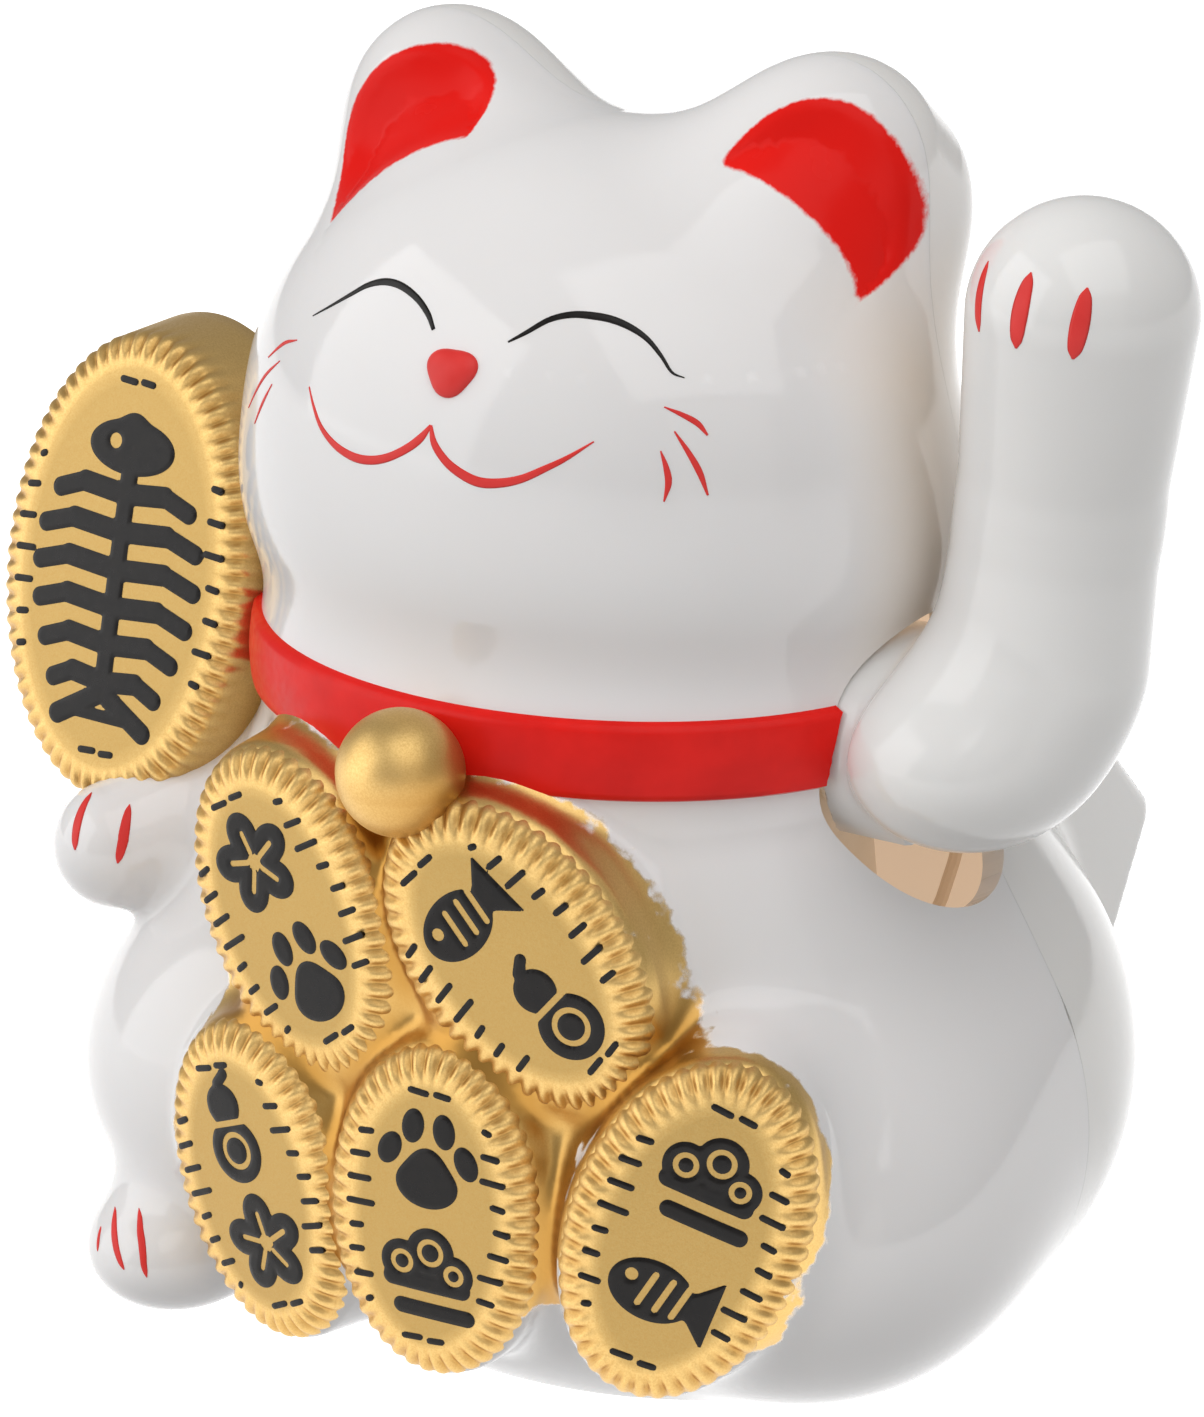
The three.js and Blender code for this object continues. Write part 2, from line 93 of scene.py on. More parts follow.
def mirrored(p):
    return np.stack([np.abs(p[:, 0]), p[:, 1], p[:, 2]], -1)


def body_field(p):
    q = mirrored(p)
    head = ellipsoid(q, (0, 0, 71.8), (28.4, 23.5, 24))
    jowl = ellipsoid(q, (0, 2, 66), (28.8, 24.5, 16))
    neck = ellipsoid(q, (0, 1, 54), (28, 24.3, 14))
    body = ellipsoid(q, (0, 6.1, 22.4), (40.5, 33.5, 29.5))
    chest = ellipsoid(q, (0, 1, 43), (27.5, 24, 20))
    thigh = ellipsoid(q, (24.2, -8, 18.5), (16.4, 17, 15))
    torso = smin(smin(body, chest, 12), thigh, 6)
    return smin(torso, smin(smin(head, jowl, 4), neck, 4), 3)


# each ear's painted dish, seen from the front: an oval (x and z of its centre, then its radii)
# cut off by a round (x and z of its centre, then its radius)
EAR_DISHES = [
    ((18.7, 90.9), (6.0, 8.0), (12.5, 83.4), 11.6),
    ((-14.4, 93.3), (6.2, 5.9), (-5.5, 81.5), 13.4),
]
EAR_DEPTH = 2.2
EAR_SLOPE = 2.6
EAR_FLOOR = 82
EAR_BACK = 5
PAINT_INSET = 0.35
ENDLESS = 1e6


def dish_depth(p, oval, radii, cut, cut_radius):
    rim = ellipsoid(p, (oval[0], 0, oval[1]), (radii[0], ENDLESS, radii[1]))
    return np.minimum(-rim, np.hypot(p[:, 0] - cut[0], p[:, 2] - cut[1]) - cut_radius)


def ear_depth(p):
    """How far inside an ear's painted dish a point is, seen from the front."""
    deep = np.full(len(p), -20.0)
    at = (p[:, 2] > EAR_FLOOR) & (p[:, 1] < EAR_BACK + 1)
    deep[at] = np.maximum(*[dish_depth(p[at], *dish) for dish in EAR_DISHES])
    return deep


def skin_field(p):
    ear = capsule(mirrored(p), (16.8, 9, 90.4), (16.7, 5.3, 93.2), 8.2, 8.2)
    d = ear_depth(p) - 0.1
    dip = EAR_DEPTH * (1 - np.exp(-0.5 * (d + np.sqrt(d * d + 0.5)) / EAR_SLOPE))
    return smin(body_field(p), ear, 9.3) + dip * np.clip((EAR_BACK - p[:, 1]) / 1.5, 0, 1)


def coin_frame(coin):
    return turn("Z", coin[2]) @ turn("X", coin[3]) @ turn("Y", coin[4])


def coin_field(p, coin, inset=0.06, drop=0.7, rounding=1.6):
    """An elliptic post with a rounded front edge, a little inside the finely modelled coin."""
    q = (p - np.array(coin[1], float)) @ coin_frame(coin)
    a, b = coin[5] - inset, coin[6] - inset
    k0 = np.hypot(q[:, 0] / a, q[:, 2] / b)
    k1 = np.hypot(q[:, 0] / a**2, q[:, 2] / b**2)
    side = k0 * (k0 - 1) / np.maximum(k1, 1e-9) - COIN_FLARE * (q[:, 1] + coin[7]) + rounding
    ends = np.maximum(-(coin[7] - drop) - q[:, 1], q[:, 1] - coin[8]) + rounding
    out = np.hypot(np.maximum(side, 0), np.maximum(ends, 0))
    return np.minimum(np.maximum(side, ends), 0) + out - rounding


def foreleg_field(p):
    return capsule(p, (-24, 0, 41), (-35.4, -15.4, 36.1), 7, 5.1)


def house_field(p):
    t = math.radians(HOUSE["tilt"])
    y, z = p[:, 1] - HOUSE["y"], p[:, 2] - HOUSE["z"]
    top = y * math.sin(t) + z * math.cos(t)
    up = -y * math.cos(t) + z * math.sin(t) - HOUSE["length"]
    e = math.radians(57)
    end = y * math.sin(e) - z * math.cos(e)
    f = smax(smax(top, end, 1.6), smax(up, np.abs(p[:, 0]) - HOUSE["half"], 1.6), 1.6)
    return smax(f, 18 - p[:, 1], 1.0)


def shell_field(p):
    f = smin(skin_field(p), foreleg_field(p), 3.0)
    f = smin(f, ellipsoid(p, (-26.6, -19.3, 6.2), (7.2, 8.8, 5.5)), 4.0)
    for coin in COINS:
        f = smin(f, coin_field(p, coin), 3.0 if coin[0] == "coin_lower_right" else 2.0)
    return smin(f, house_field(p), 2.5)


def slot_field(p):
    """Negative inside the shoulder opening."""
    q = np.stack([(p[:, 1] - SLOT[0]) / SLOT[2], (p[:, 2] - SLOT[1]) / SLOT[3]], -1)
    k = np.linalg.norm(q, axis=-1)
    return np.where(p[:, 0] > 10, (k - 1) * 10, 10.0)


ARM_FACE = 27.3
ARM_ROOT_END = 31
ARM_NECK_RADIUS = 6.3
ARM_PLUG_RADIUS = 8.5
ARM_PLUG_FLOOR = 46.9
ARM_PLUG_INSET = 1 / 24
ARM_BORE_RADIUS = 4.95


def arm_field(p):
    """The raised arm, with its neck and plug in the shoulder opening and the bore for the hub."""
    lobe = ellipsoid(p, (34, -3.2, 54.3), (8.9, 10.3, 7.2))
    low = capsule(p, (37.8, -0.6, 61), (38.7, 0, 71.7), 7.9, 7.3)
    high = capsule(p, (38.7, 0, 71.7), (40.2, -0.5, 86.7), 7.3, 8.2)
    f = smin(smin(lobe, low, 5), high, 1)
    f = smax(f, ARM_FACE - p[:, 0], 0.8)
    lean = math.radians(18)
    wedge = (ARM_FACE - p[:, 0]) * math.cos(lean) + (p[:, 2] - 56) * math.sin(lean)
    f = smax(f, np.minimum(wedge, 67.5 - p[:, 2]), 1.2)
    r = np.hypot(p[:, 1] - PIVOT[0], p[:, 2] - PIVOT[1])
    outward = p[:, 0] - ARM_ROOT_END
    neck = np.maximum(np.maximum(r - ARM_NECK_RADIUS, 22.6 - p[:, 0]), outward)
    plug = np.maximum(np.maximum(r - ARM_PLUG_RADIUS, 24.6 - p[:, 0]), outward)
    plug = np.maximum(plug, ARM_PLUG_FLOOR - p[:, 2])
    neck = np.minimum(neck, plug + ARM_PLUG_INSET)
    bore = np.maximum(r - ARM_BORE_RADIUS, p[:, 0] - 30)
    return smax(smin(f, neck, 0.8), -bore, 0.3)


def gradient(field, p, h=0.02):
    g = np.zeros_like(p)
    for i in range(3):
        d = np.zeros(3)
        d[i] = h
        g[:, i] = (field(p + d) - field(p - d)) / (2 * h)
    return g


def unit(v):
    return v / np.maximum(np.linalg.norm(v, axis=-1, keepdims=True), 1e-9)


def settle(field, p, level=0.0, steps=4):
    """Moves points along the gradient onto the field's level surface."""
    p = np.array(p, float)
    for _ in range(steps):
        g = gradient(field, p)
        n2 = np.maximum((g * g).sum(-1), 0.05)
        move = ((field(p) - level) / n2)[:, None] * g
        p -= np.clip(move, -0.8, 0.8)
    return p


# ---------------------------------------------------------------- meshing
def surface_mesh(field, low, high, step):
    """Surface nets on a regular grid, each vertex then settled on the surface: points and triangles."""
    axes = [np.arange(lo, hi + step, step) for lo, hi in zip(low, high)]
    n = [len(a) for a in axes]
    yy, zz = np.meshgrid(axes[1], axes[2], indexing="ij")
    f = np.empty(n)
    for i, x in enumerate(axes[0]):
        p = np.stack([np.full(yy.size, x), yy.ravel(), zz.ravel()], -1)
        f[i] = field(p).reshape(n[1], n[2])
    inside = f < 0
    m = [k - 1 for k in n]
    corners = [(i, j, k) for i in (0, 1) for j in (0, 1) for k in (0, 1)]

    def at(array, c):
        return array[c[0] : c[0] + m[0], c[1] : c[1] + m[1], c[2] : c[2] + m[2]]

    count_in = sum(at(inside, c).astype(int) for c in corners)
    active = (count_in > 0) & (count_in < 8)
    cells = np.argwhere(active)
    total = np.zeros((len(cells), 3))
    hits = np.zeros(len(cells))
    for c0 in corners:
        for axis in range(3):
            if c0[axis]:
                continue
            c1 = tuple(c + (1 if i == axis else 0) for i, c in enumerate(c0))
            a, b = at(f, c0)[active], at(f, c1)[active]
            cross = (a < 0) != (b < 0)
            t = np.where(cross, a / np.where(cross, a - b, 1), 0)
            point = np.tile(np.array(c0, float), (len(cells), 1))
            point[:, axis] += t
            total += point * cross[:, None]
            hits += cross
    points = (cells + total / hits[:, None]) * step + np.array([a[0] for a in axes])
    index = np.full(m, -1)
    index[active] = np.arange(len(cells))
    quads = []
    for axis in range(3):
        b, c = (axis + 1) % 3, (axis + 2) % 3
        first = [slice(None)] * 3
        second = [slice(None)] * 3
        first[axis], second[axis] = slice(0, -1), slice(1, None)
        i0, i1 = inside[tuple(first)], inside[tuple(second)]
        at_edge = np.argwhere(i0 != i1)
        ok = (at_edge[:, b] > 0) & (at_edge[:, c] > 0)
        ok &= (at_edge[:, b] < m[b]) & (at_edge[:, c] < m[c])
        at_edge = at_edge[ok]
        ring = []
        for db, dc in ((-1, -1), (0, -1), (0, 0), (-1, 0)):
            cell = at_edge.copy()
            cell[:, b] += db
            cell[:, c] += dc
            ring.append(index[tuple(cell.T)])
        quad = np.stack(ring, -1)
        flip = ~i0[tuple(at_edge.T)]
        quad[flip] = quad[flip][:, ::-1]
        quads.append(quad)
    quads = np.concatenate(quads)
    points = settle(field, points, steps=5)
    d1 = np.linalg.norm(points[quads[:, 0]] - points[quads[:, 2]], axis=1)
    d2 = np.linalg.norm(points[quads[:, 1]] - points[quads[:, 3]], axis=1)
    short = (d1 <= d2)[:, None]
    one = np.where(short, quads[:, [0, 1, 2]], quads[:, [1, 2, 3]])
    two = np.where(short, quads[:, [0, 2, 3]], quads[:, [1, 3, 0]])
    return points, np.concatenate([one, two])


def compact(points, tris):
    used, inverse = np.unique(tris, return_inverse=True)
    return points[used], inverse.reshape(-1, 3)


def clip(points, tris, s):
    """Keeps the part of a triangle mesh where s, given at its points, is negative, cut along s = 0."""
    s = np.where(np.abs(s) < 1e-7, 1e-7, s)
    keep = s < 0
    k = keep[tris].sum(1)
    done = [tris[k == 3]]
    made = {}
    new = []

    def cut(i, j):
        key = (min(i, j), max(i, j))
        if key not in made:
            t = s[i] / (s[i] - s[j])
            made[key] = len(points) + len(new)
            new.append(points[i] + t * (points[j] - points[i]))
        return made[key]

    extra = []
    for t in tris[(k == 1) | (k == 2)]:
        lone = keep[t].sum() == 1
        r = int(np.argmax(keep[t] if lone else ~keep[t]))
        a, b, c = int(t[r]), int(t[(r + 1) % 3]), int(t[(r + 2) % 3])
        ab, ac = cut(a, b), cut(a, c)
        extra += [(a, ab, ac)] if lone else [(ab, b, c), (ab, c, ac)]
    if new:
        points = np.concatenate([points, np.array(new)])
        done.append(np.array(extra))
    return compact(points, np.concatenate(done))


def thicken(points, tris, normals, wall):
    """A sheet made solid: an inner copy moved back by wall, and a strip along every open edge."""
    n = len(points)
    edges = np.concatenate([tris[:, [0, 1]], tris[:, [1, 2]], tris[:, [2, 0]]])
    key = np.sort(edges, 1)
    _, first, count = np.unique(key, axis=0, return_index=True, return_counts=True)
    rim = edges[first[count == 1]]
    a, b = rim[:, 0], rim[:, 1]
    strip = np.concatenate([np.stack([b, a, a + n], -1), np.stack([b, a + n, b + n], -1)])
    both = np.concatenate([points, points - normals * wall])
    faces = np.concatenate([tris, tris[:, ::-1] + n, strip])
    kind = np.repeat([0, 1, 2], [len(tris), len(tris), len(strip)])
    return both, faces, kind


def make_object(name, points, faces, material, normals=None, flat=None, masks=None, which=None):
    """A mesh object from points in mm.

    normals are smooth ones, one for each point; flat marks the faces that keep their own.
    """
    mesh = bpy.data.meshes.new(name)
    mesh.from_pydata((np.asarray(points) * MM).tolist(), [], [list(map(int, f)) for f in faces])
    for m in material if isinstance(material, list) else [material]:
        mesh.materials.append(m)
    mesh.polygons.foreach_set("use_smooth", np.ones(len(mesh.polygons), bool))
    if which is not None:
        mesh.polygons.foreach_set("material_index", which.astype(int))
    for key, values in (masks or {}).items():
        layer = mesh.attributes.new(key, "FLOAT", "POINT")
        layer.data.foreach_set("value", np.asarray(values, np.float32))
    if normals is not None:
        loops = np.empty(len(mesh.loops), int)
        mesh.loops.foreach_get("vertex_index", loops)
        split = np.asarray(normals)[loops]
        if flat is not None:
            face_normals = np.empty(len(mesh.polygons) * 3)
            mesh.polygons.foreach_get("normal", face_normals)
            sizes = np.empty(len(mesh.polygons), int)
            mesh.polygons.foreach_get("loop_total", sizes)
            own = np.repeat(face_normals.reshape(-1, 3), sizes, axis=0)
            split = np.where(np.repeat(flat, sizes)[:, None], own, split)
        mesh.normals_split_custom_set(split.tolist())
    mesh.update()
    obj = bpy.data.objects.new(name, mesh)
    bpy.context.scene.collection.objects.link(obj)
    return obj


# ---------------------------------------------------------------- materials
class Nodes:
    def __init__(self, name):
        self.material = bpy.data.materials.new(name)
        self.material.use_nodes = True
        self.tree = self.material.node_tree
        self.tree.nodes.clear()
        self.out = self.add("ShaderNodeOutputMaterial")
        self.bsdf = self.add("ShaderNodeBsdfPrincipled")
        self.link(self.bsdf.outputs[0], self.out.inputs[0])
        self.coord = self.add("ShaderNodeTexCoord").outputs["Object"]

    def add(self, kind, **props):
        node = self.tree.nodes.new(kind)
        for k, v in props.items():
            setattr(node, k, v)
        return node

    def link(self, a, b):
        self.tree.links.new(a, b)

    def set(self, **values):
        for key, v in values.items():
            self.bsdf.inputs[key.replace("_", " ")].default_value = v

    def noise(self, scale, detail=3.0, rough=0.5, stretch=None):
        n = self.add("ShaderNodeTexNoise")
        n.inputs["Scale"].default_value = scale
        n.inputs["Detail"].default_value = detail
        n.inputs["Roughness"].default_value = rough
        vector = self.coord
        if stretch:
            mapping = self.add("ShaderNodeMapping")
            mapping.inputs["Scale"].default_value = stretch
            self.link(self.coord, mapping.inputs[0])
            vector = mapping.outputs[0]
        self.link(vector, n.inputs["Vector"])
        return n.outputs["Fac"]

    def math(self, operation, a, b=0.0, c=0.0, clamp=False):
        n = self.add("ShaderNodeMath", operation=operation, use_clamp=clamp)
        for i, x in enumerate((a, b, c)):
            if isinstance(x, (int, float)):
                n.inputs[i].default_value = x
            else:
                self.link(x, n.inputs[i])
        return n.outputs[0]

    def span(self, x, low, high, to_low=0.0, to_high=1.0, smooth=False):
        n = self.add("ShaderNodeMapRange")
        if smooth:
            n.interpolation_type = "SMOOTHSTEP"
        self.link(x, n.inputs[0])
        for i, v in enumerate((low, high, to_low, to_high)):
            n.inputs[i + 1].default_value = v
        return n.outputs[0]

    def mix(self, factor, a, b):
        n = self.add("ShaderNodeMix", data_type="RGBA")
        if isinstance(factor, (int, float)):
            n.inputs[0].default_value = factor
        else:
            self.link(factor, n.inputs[0])
        for x, socket in ((a, n.inputs[6]), (b, n.inputs[7])):
            if isinstance(x, tuple):
                socket.default_value = (*x, 1)
            else:
                self.link(x, socket)
        return n.outputs[2]

    def attribute(self, name):
        return self.add("ShaderNodeAttribute", attribute_name=name).outputs["Fac"]

    def bump(self, height, strength, distance=0.0002, normal=None):
        n = self.add("ShaderNodeBump")
        n.inputs["Strength"].default_value = strength
        n.inputs["Distance"].default_value = distance
        self.link(height, n.inputs["Height"])
        if normal is not None:
            self.link(normal, n.inputs["Normal"])
        return n.outputs[0]

    def colour(self, x):
        self.link(x, self.bsdf.inputs["Base Color"])

    def rough(self, x):
        self.link(x, self.bsdf.inputs["Roughness"])

    def normal(self, x):
        self.link(x, self.bsdf.inputs["Normal"])


# the darker second gold is the gold's painted shade colour in the shade masks below, and also the dark of
# its random flake; the third gold is the painted shade of the flat coin faces
GOLD_LIGHT = (0.68, 0.46, 0.17)
GOLD_SHADE_AND_FLAKE = (0.42, 0.22, 0.05)
GOLD_FACE_SHADED = (0.40, 0.27, 0.095)
RED_LIGHT = (0.80, 0.012, 0.008)
RED_DARK = (0.70, 0.009, 0.006)


def plastic_material(name, light, dark, roughness=0.2, painted=False):
    """Glossy moulded plastic. With painted, its masks bring in metallic gold and red paint, painted shade on
    the gold between coins, and a painted shade, darker and yellower, on the head's side by the arm.
    """
    n = Nodes(name)
    broad = n.span(n.noise(60, 2), 0.35, 0.65)
    colour = n.mix(broad, dark, light)
    if painted:
        # painted shade: a darker, yellower tint on the head's side by the arm, standing in for the arm's
        # shadow and bounced light
        colour = n.mix(n.attribute("painted_side_shade"), colour, (0.80, 0.71, 0.61))
    rough = n.span(n.noise(220, 3), 0.3, 0.7, roughness - 0.02, roughness + 0.03)
    orange = n.noise(900, 2)
    fine = n.noise(5200, 2)
    height = n.math("MULTIPLY_ADD", fine, 0.12, orange)
    if painted:
        speckle = n.noise(1500, 3, 0.6)
        edge = n.span(speckle, 0.3, 0.7, -0.25, 0.25)
        wander = n.span(n.noise(380, 2), 0.3, 0.7, -0.35, 0.35)
        gold = n.math("ADD", n.attribute("gold_mm"), n.math("MULTIPLY_ADD", edge, 0.4, wander))
        gold_mask = n.span(gold, 0.16, -0.16, smooth=True)
        flake = n.noise(7000, 2, 0.7)
        # painted shade: gold on the shell turns darker where coins come close, by the painted-shade mask
        depth = n.span(n.attribute("painted_shade"), 0.0, 1.0)
        gold_colour = n.mix(depth, GOLD_LIGHT, GOLD_SHADE_AND_FLAKE)
        gold_colour = n.mix(n.span(flake, 0.35, 0.7, 0.0, 0.35), gold_colour, GOLD_SHADE_AND_FLAKE)
        red = n.math("MULTIPLY_ADD", edge, 0.25, n.attribute("red_mm"))
        red_mask = n.span(red, 0.12, -0.12, smooth=True)
        red_colour = n.mix(broad, RED_DARK, RED_LIGHT)
        colour = n.mix(red_mask, colour, red_colour)
        colour = n.mix(gold_mask, colour, gold_colour)
        rough = n.math("MULTIPLY_ADD", gold_mask, 0.24, rough)
        rough = n.math("MULTIPLY_ADD", red_mask, 0.16, rough)
        height = n.math("MULTIPLY_ADD", n.math("MULTIPLY", flake, gold_mask), 0.8, height)
        n.link(gold_mask, n.bsdf.inputs["Metallic"])
        n.link(n.math("MULTIPLY_ADD", red_mask, -0.4, 0.5), n.bsdf.inputs["Specular IOR Level"])
    n.colour(colour)
    n.rough(rough)
    n.normal(n.bump(height, 0.12, 0.00006))
    n.set(IOR=1.47, Subsurface_Weight=0.12, Subsurface_Scale=0.0016)
    n.bsdf.inputs["Subsurface Radius"].default_value = (1.0, 0.8, 0.65)
    return n.material


def gold_material():
    n = Nodes("gold_paint")
    flake = n.noise(7000, 2, 0.7)
    pebble = n.noise(2600, 3, 0.6)
    broad = n.span(n.noise(160, 2), 0.3, 0.7)
    # painted shade: the gold turns darker where the painted-shade mask is high, in notch dents and across
    # the bell
    depth = n.span(n.attribute("painted_shade"), 0.0, 1.0)
    colour = n.mix(depth, GOLD_LIGHT, GOLD_SHADE_AND_FLAKE)
    colour = n.mix(n.math("MULTIPLY", broad, 0.2), colour, (0.76, 0.54, 0.24))
    # painted shade: the flat middle of each coin face is a darker gold than its rim, standing in for the
    # darker reflection the flat faces catch
    colour = n.mix(n.attribute("flat"), colour, GOLD_FACE_SHADED)
    colour = n.mix(n.span(flake, 0.35, 0.7, 0.0, 0.35), colour, GOLD_SHADE_AND_FLAKE)
    n.colour(colour)
    n.rough(n.span(flake, 0.3, 0.7, 0.36, 0.5))
    height = n.math("MULTIPLY_ADD", flake, 0.6, pebble)
    n.normal(n.bump(height, 0.22, 0.00008))
    n.set(Metallic=0.92)
    return n.material


def paint_material(name, light, dark, roughness, scale=300, ior=1.46):
    n = Nodes(name)
    n.colour(n.mix(n.span(n.noise(scale, 3), 0.3, 0.7), dark, light))
    n.rough(n.span(n.noise(1400, 2), 0.3, 0.7, roughness - 0.05, roughness + 0.07))
    n.normal(n.bump(n.noise(2400, 3), 0.12, 0.00005))
    n.set(IOR=ior)
    return n.material


def glowing_lining_material():
    """The back of the white wall, made to glow a little, yellowish: painted light standing in for light that
    comes through the wall.
    """
    n = Nodes("shell_lining_glow")
    n.colour(n.mix(n.noise(90, 2), (0.74, 0.64, 0.53), (0.80, 0.70, 0.59)))
    n.set(Roughness=0.5, Emission_Strength=0.3)
    n.bsdf.inputs["Emission Color"].default_value = (0.85, 0.70, 0.55, 1)
    return n.material


def metal_material(name, light, dark, roughness, stretch):
    n = Nodes(name)
    grain = n.noise(900, 4, 0.6, stretch)
    n.colour(n.mix(grain, dark, light))
    n.rough(n.span(grain, 0.3, 0.7, roughness - 0.06, roughness + 0.1))
    n.normal(n.bump(grain, 0.2, 0.00005))
    n.set(Metallic=1.0)
    return n.material


def cell_material():
    n = Nodes("solar_cell")
    x = n.add("ShaderNodeSeparateXYZ")
    n.link(n.coord, x.inputs[0])
    along = n.math("PINGPONG", n.math("ADD", x.outputs[0], 0.1), 0.0029)
    line = n.span(along, 0.00012, 0.00022)
    body = n.mix(n.noise(700, 3), (0.012, 0.012, 0.03), (0.03, 0.022, 0.05))
    n.colour(n.mix(line, (0.22, 0.2, 0.18), body))
    n.rough(n.span(n.noise(400, 2), 0.3, 0.7, 0.18, 0.3))
    n.set(IOR=1.5, Coat_Weight=0.6)
    return n.material


def clear_material():
    n = Nodes("clear_cover")
    n.colour(n.mix(n.noise(50, 2), (0.93, 0.95, 0.96), (0.97, 0.98, 0.98)))
    n.rough(n.span(n.noise(500, 2), 0.3, 0.7, 0.02, 0.07))
    n.normal(n.bump(n.noise(120, 1), 0.03, 0.0001))
    n.set(IOR=1.49, Transmission_Weight=1.0)
    return n.material


def wound_material():
    n = Nodes("copper_winding")
    wave = n.add("ShaderNodeTexWave", wave_type="BANDS", bands_direction="Z")
    wave.inputs["Scale"].default_value = 900
    n.link(n.coord, wave.inputs["Vector"])
    n.colour(n.mix(wave.outputs["Fac"], (0.28, 0.1, 0.03), (0.66, 0.29, 0.12)))
    n.rough(n.span(wave.outputs["Fac"], 0, 1, 0.45, 0.25))
    n.normal(n.bump(wave.outputs["Fac"], 0.5, 0.0001))
    n.set(Metallic=0.9)
    return n.material


WHITE = plastic_material("white_plastic", (0.80, 0.785, 0.78), (0.78, 0.765, 0.76), 0.09, True)
ARM_WHITE = plastic_material("arm_plastic", (0.80, 0.79, 0.775), (0.775, 0.765, 0.75), 0.14)
CREAM = plastic_material("rear_plastic", (0.80, 0.785, 0.765), (0.775, 0.76, 0.735), 0.11, True)
GOLD = gold_material()
RED = paint_material("red_paint", RED_LIGHT, RED_DARK, 0.34, ior=1.25)
STROKE_RED = paint_material("red_brush", (0.76, 0.045, 0.04), (0.68, 0.03, 0.025), 0.4, ior=1.3)
INK = paint_material("black_print", (0.009, 0.007, 0.006), (0.005, 0.004, 0.004), 0.3, 900, 1.3)
INNER = paint_material("inner_plastic", (0.82, 0.74, 0.63), (0.77, 0.69, 0.58), 0.45)
LINING_GLOW = glowing_lining_material()
BLACK = paint_material("black_plastic", (0.03, 0.03, 0.032), (0.02, 0.02, 0.022), 0.4)
BOARD = paint_material("board_green", (0.05, 0.22, 0.09), (0.03, 0.16, 0.06), 0.35, 1500)
LEAD_RED = paint_material("lead_red", (0.78, 0.68, 0.57), (0.74, 0.63, 0.52), 0.5)
STEEL = metal_material("bright_steel", (0.66, 0.66, 0.68), (0.5, 0.5, 0.52), 0.28, (1, 1, 12))
COPPER = wound_material()
CELL = cell_material()
CLEAR = clear_material()


# ---------------------------------------------------------------- shells
def gold_distance(p):
    """Distance to where the gold spray reaches: the coins' sides and the gaps between them; also the painted
    shade that darkens the gold where coins come close.
    """
    near = np.full(len(p), 50.0)
    raw = []
    for coin in COINS:
        q = (p - np.array(coin[1], float)) @ coin_frame(coin)
        d = coin_field(p, coin)
        raw.append(d)
        below = np.maximum(-0.42 - q[:, 2] / coin[6], 0) if coin[1][2] < 30 else 0
        reached = d - 0.45 + 9 * np.minimum(below, 0.5)
        if coin[0] == "coin_lower_right":
            reached = np.maximum(reached, (q[:, 1] + coin[7] - 3.3) * 0.8)
        near = np.minimum(near, reached)
    raw = np.sort(np.array(raw), 0)
    width = np.where(p[:, 0] < 15, 5.0, 3.0)
    between = np.maximum((raw[0] + raw[1] - width) * 0.5, (13.5 - p[:, 2]) * 0.7)
    bell = ellipsoid(p, BELL[0], (BELL[1],) * 3) - 0.5
    # painted shade: the gold darkens where two coins come close, standing in for the shade between them
    painted_shade = np.clip(1.5 - (raw[0] + raw[1]) / 3.0, 0, 1)
    return np.minimum(np.minimum(near, between), bell), painted_shade


def red_distance(p):
    """Distance to the edge of the ears' paint, negative on it."""
    near_ear = (p[:, 2] > EAR_FLOOR) & (p[:, 1] < EAR_BACK)
    return np.where(near_ear, -PAINT_INSET - ear_depth(p), 20.0)


def side_shade_amount(p):
    """How far a point is round the side of the head by the arm, where the wall gets a painted shade, darker
    and yellower, standing in for the arm's shadow and light bounced off the arm.
    """
    back = np.clip((p[:, 1] + 9) / 9, 0, 1)
    side = np.clip((p[:, 0] - 8) / 12, 0, 1)
    height = np.clip((p[:, 2] - 52) / 8, 0, 1) * np.clip((90 - p[:, 2]) / 10, 0, 1)
    return back * side * height


def slope_point(p):
    t = math.radians(HOUSE["tilt"])
    y, z = p[:, 1] - HOUSE["y"], p[:, 2] - HOUSE["z"]
    return p[:, 0], -y * math.cos(t) + z * math.sin(t), y * math.sin(t) + z * math.cos(t)


def window_field(p):
    u, v, n = slope_point(p)
    return np.maximum(np.maximum(np.abs(u) - 18.3, np.abs(v - 11.0) - 7.9), np.abs(n) - 4)


SKIN = surface_mesh(shell_field, (-43, -35, -2), (42, 49, 103), 0.75)


def shell_piece(name, side, material):
    points, tris = SKIN
    points, tris = clip(points, tris, 0.02 - points[:, 2])
    open_place = (points[:, 0] > 0) * np.exp(-(((points[:, 2] - 31.5) / 1.2) ** 2))
    points, tris = clip(points, tris, side * (points[:, 1] - SEAM_Y) + SEAM_GAP / 2 + 0.12 * open_place)
    points, tris = clip(points, tris, -slot_field(points))
    points, tris = clip(points, tris, -window_field(points))
    normals = unit(gradient(shell_field, points))
    wall = WALL + (EAR_WALL - WALL) * np.clip((points[:, 2] - 78) / 6, 0, 1)
    both, faces, kind = thicken(points, tris, normals, wall[:, None])
    # the gold mask, and the painted shade of the gold between coins
    gold, painted_shade = gold_distance(both)
    masks = {"gold_mm": gold, "painted_shade": painted_shade, "red_mm": red_distance(both)}
    masks["gold_mm"][len(points) :] = 20
    masks["red_mm"][len(points) :] = 20
    # painted shade on the head's side by the arm
    masks["painted_side_shade"] = side_shade_amount(both)
    both_normals = np.concatenate([normals, -normals])
    # the inner faces get the glowing lining: painted light
    obj = make_object(name, both, faces, [material, LINING_GLOW], both_normals, kind == 2, masks, kind == 1)
    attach(obj, "figure")
    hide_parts(name)
    return obj


shell_piece("front_shell", 1, WHITE).name = "shell_front"
shell_piece("rear_shell", -1, CREAM).name = "shell_rear"


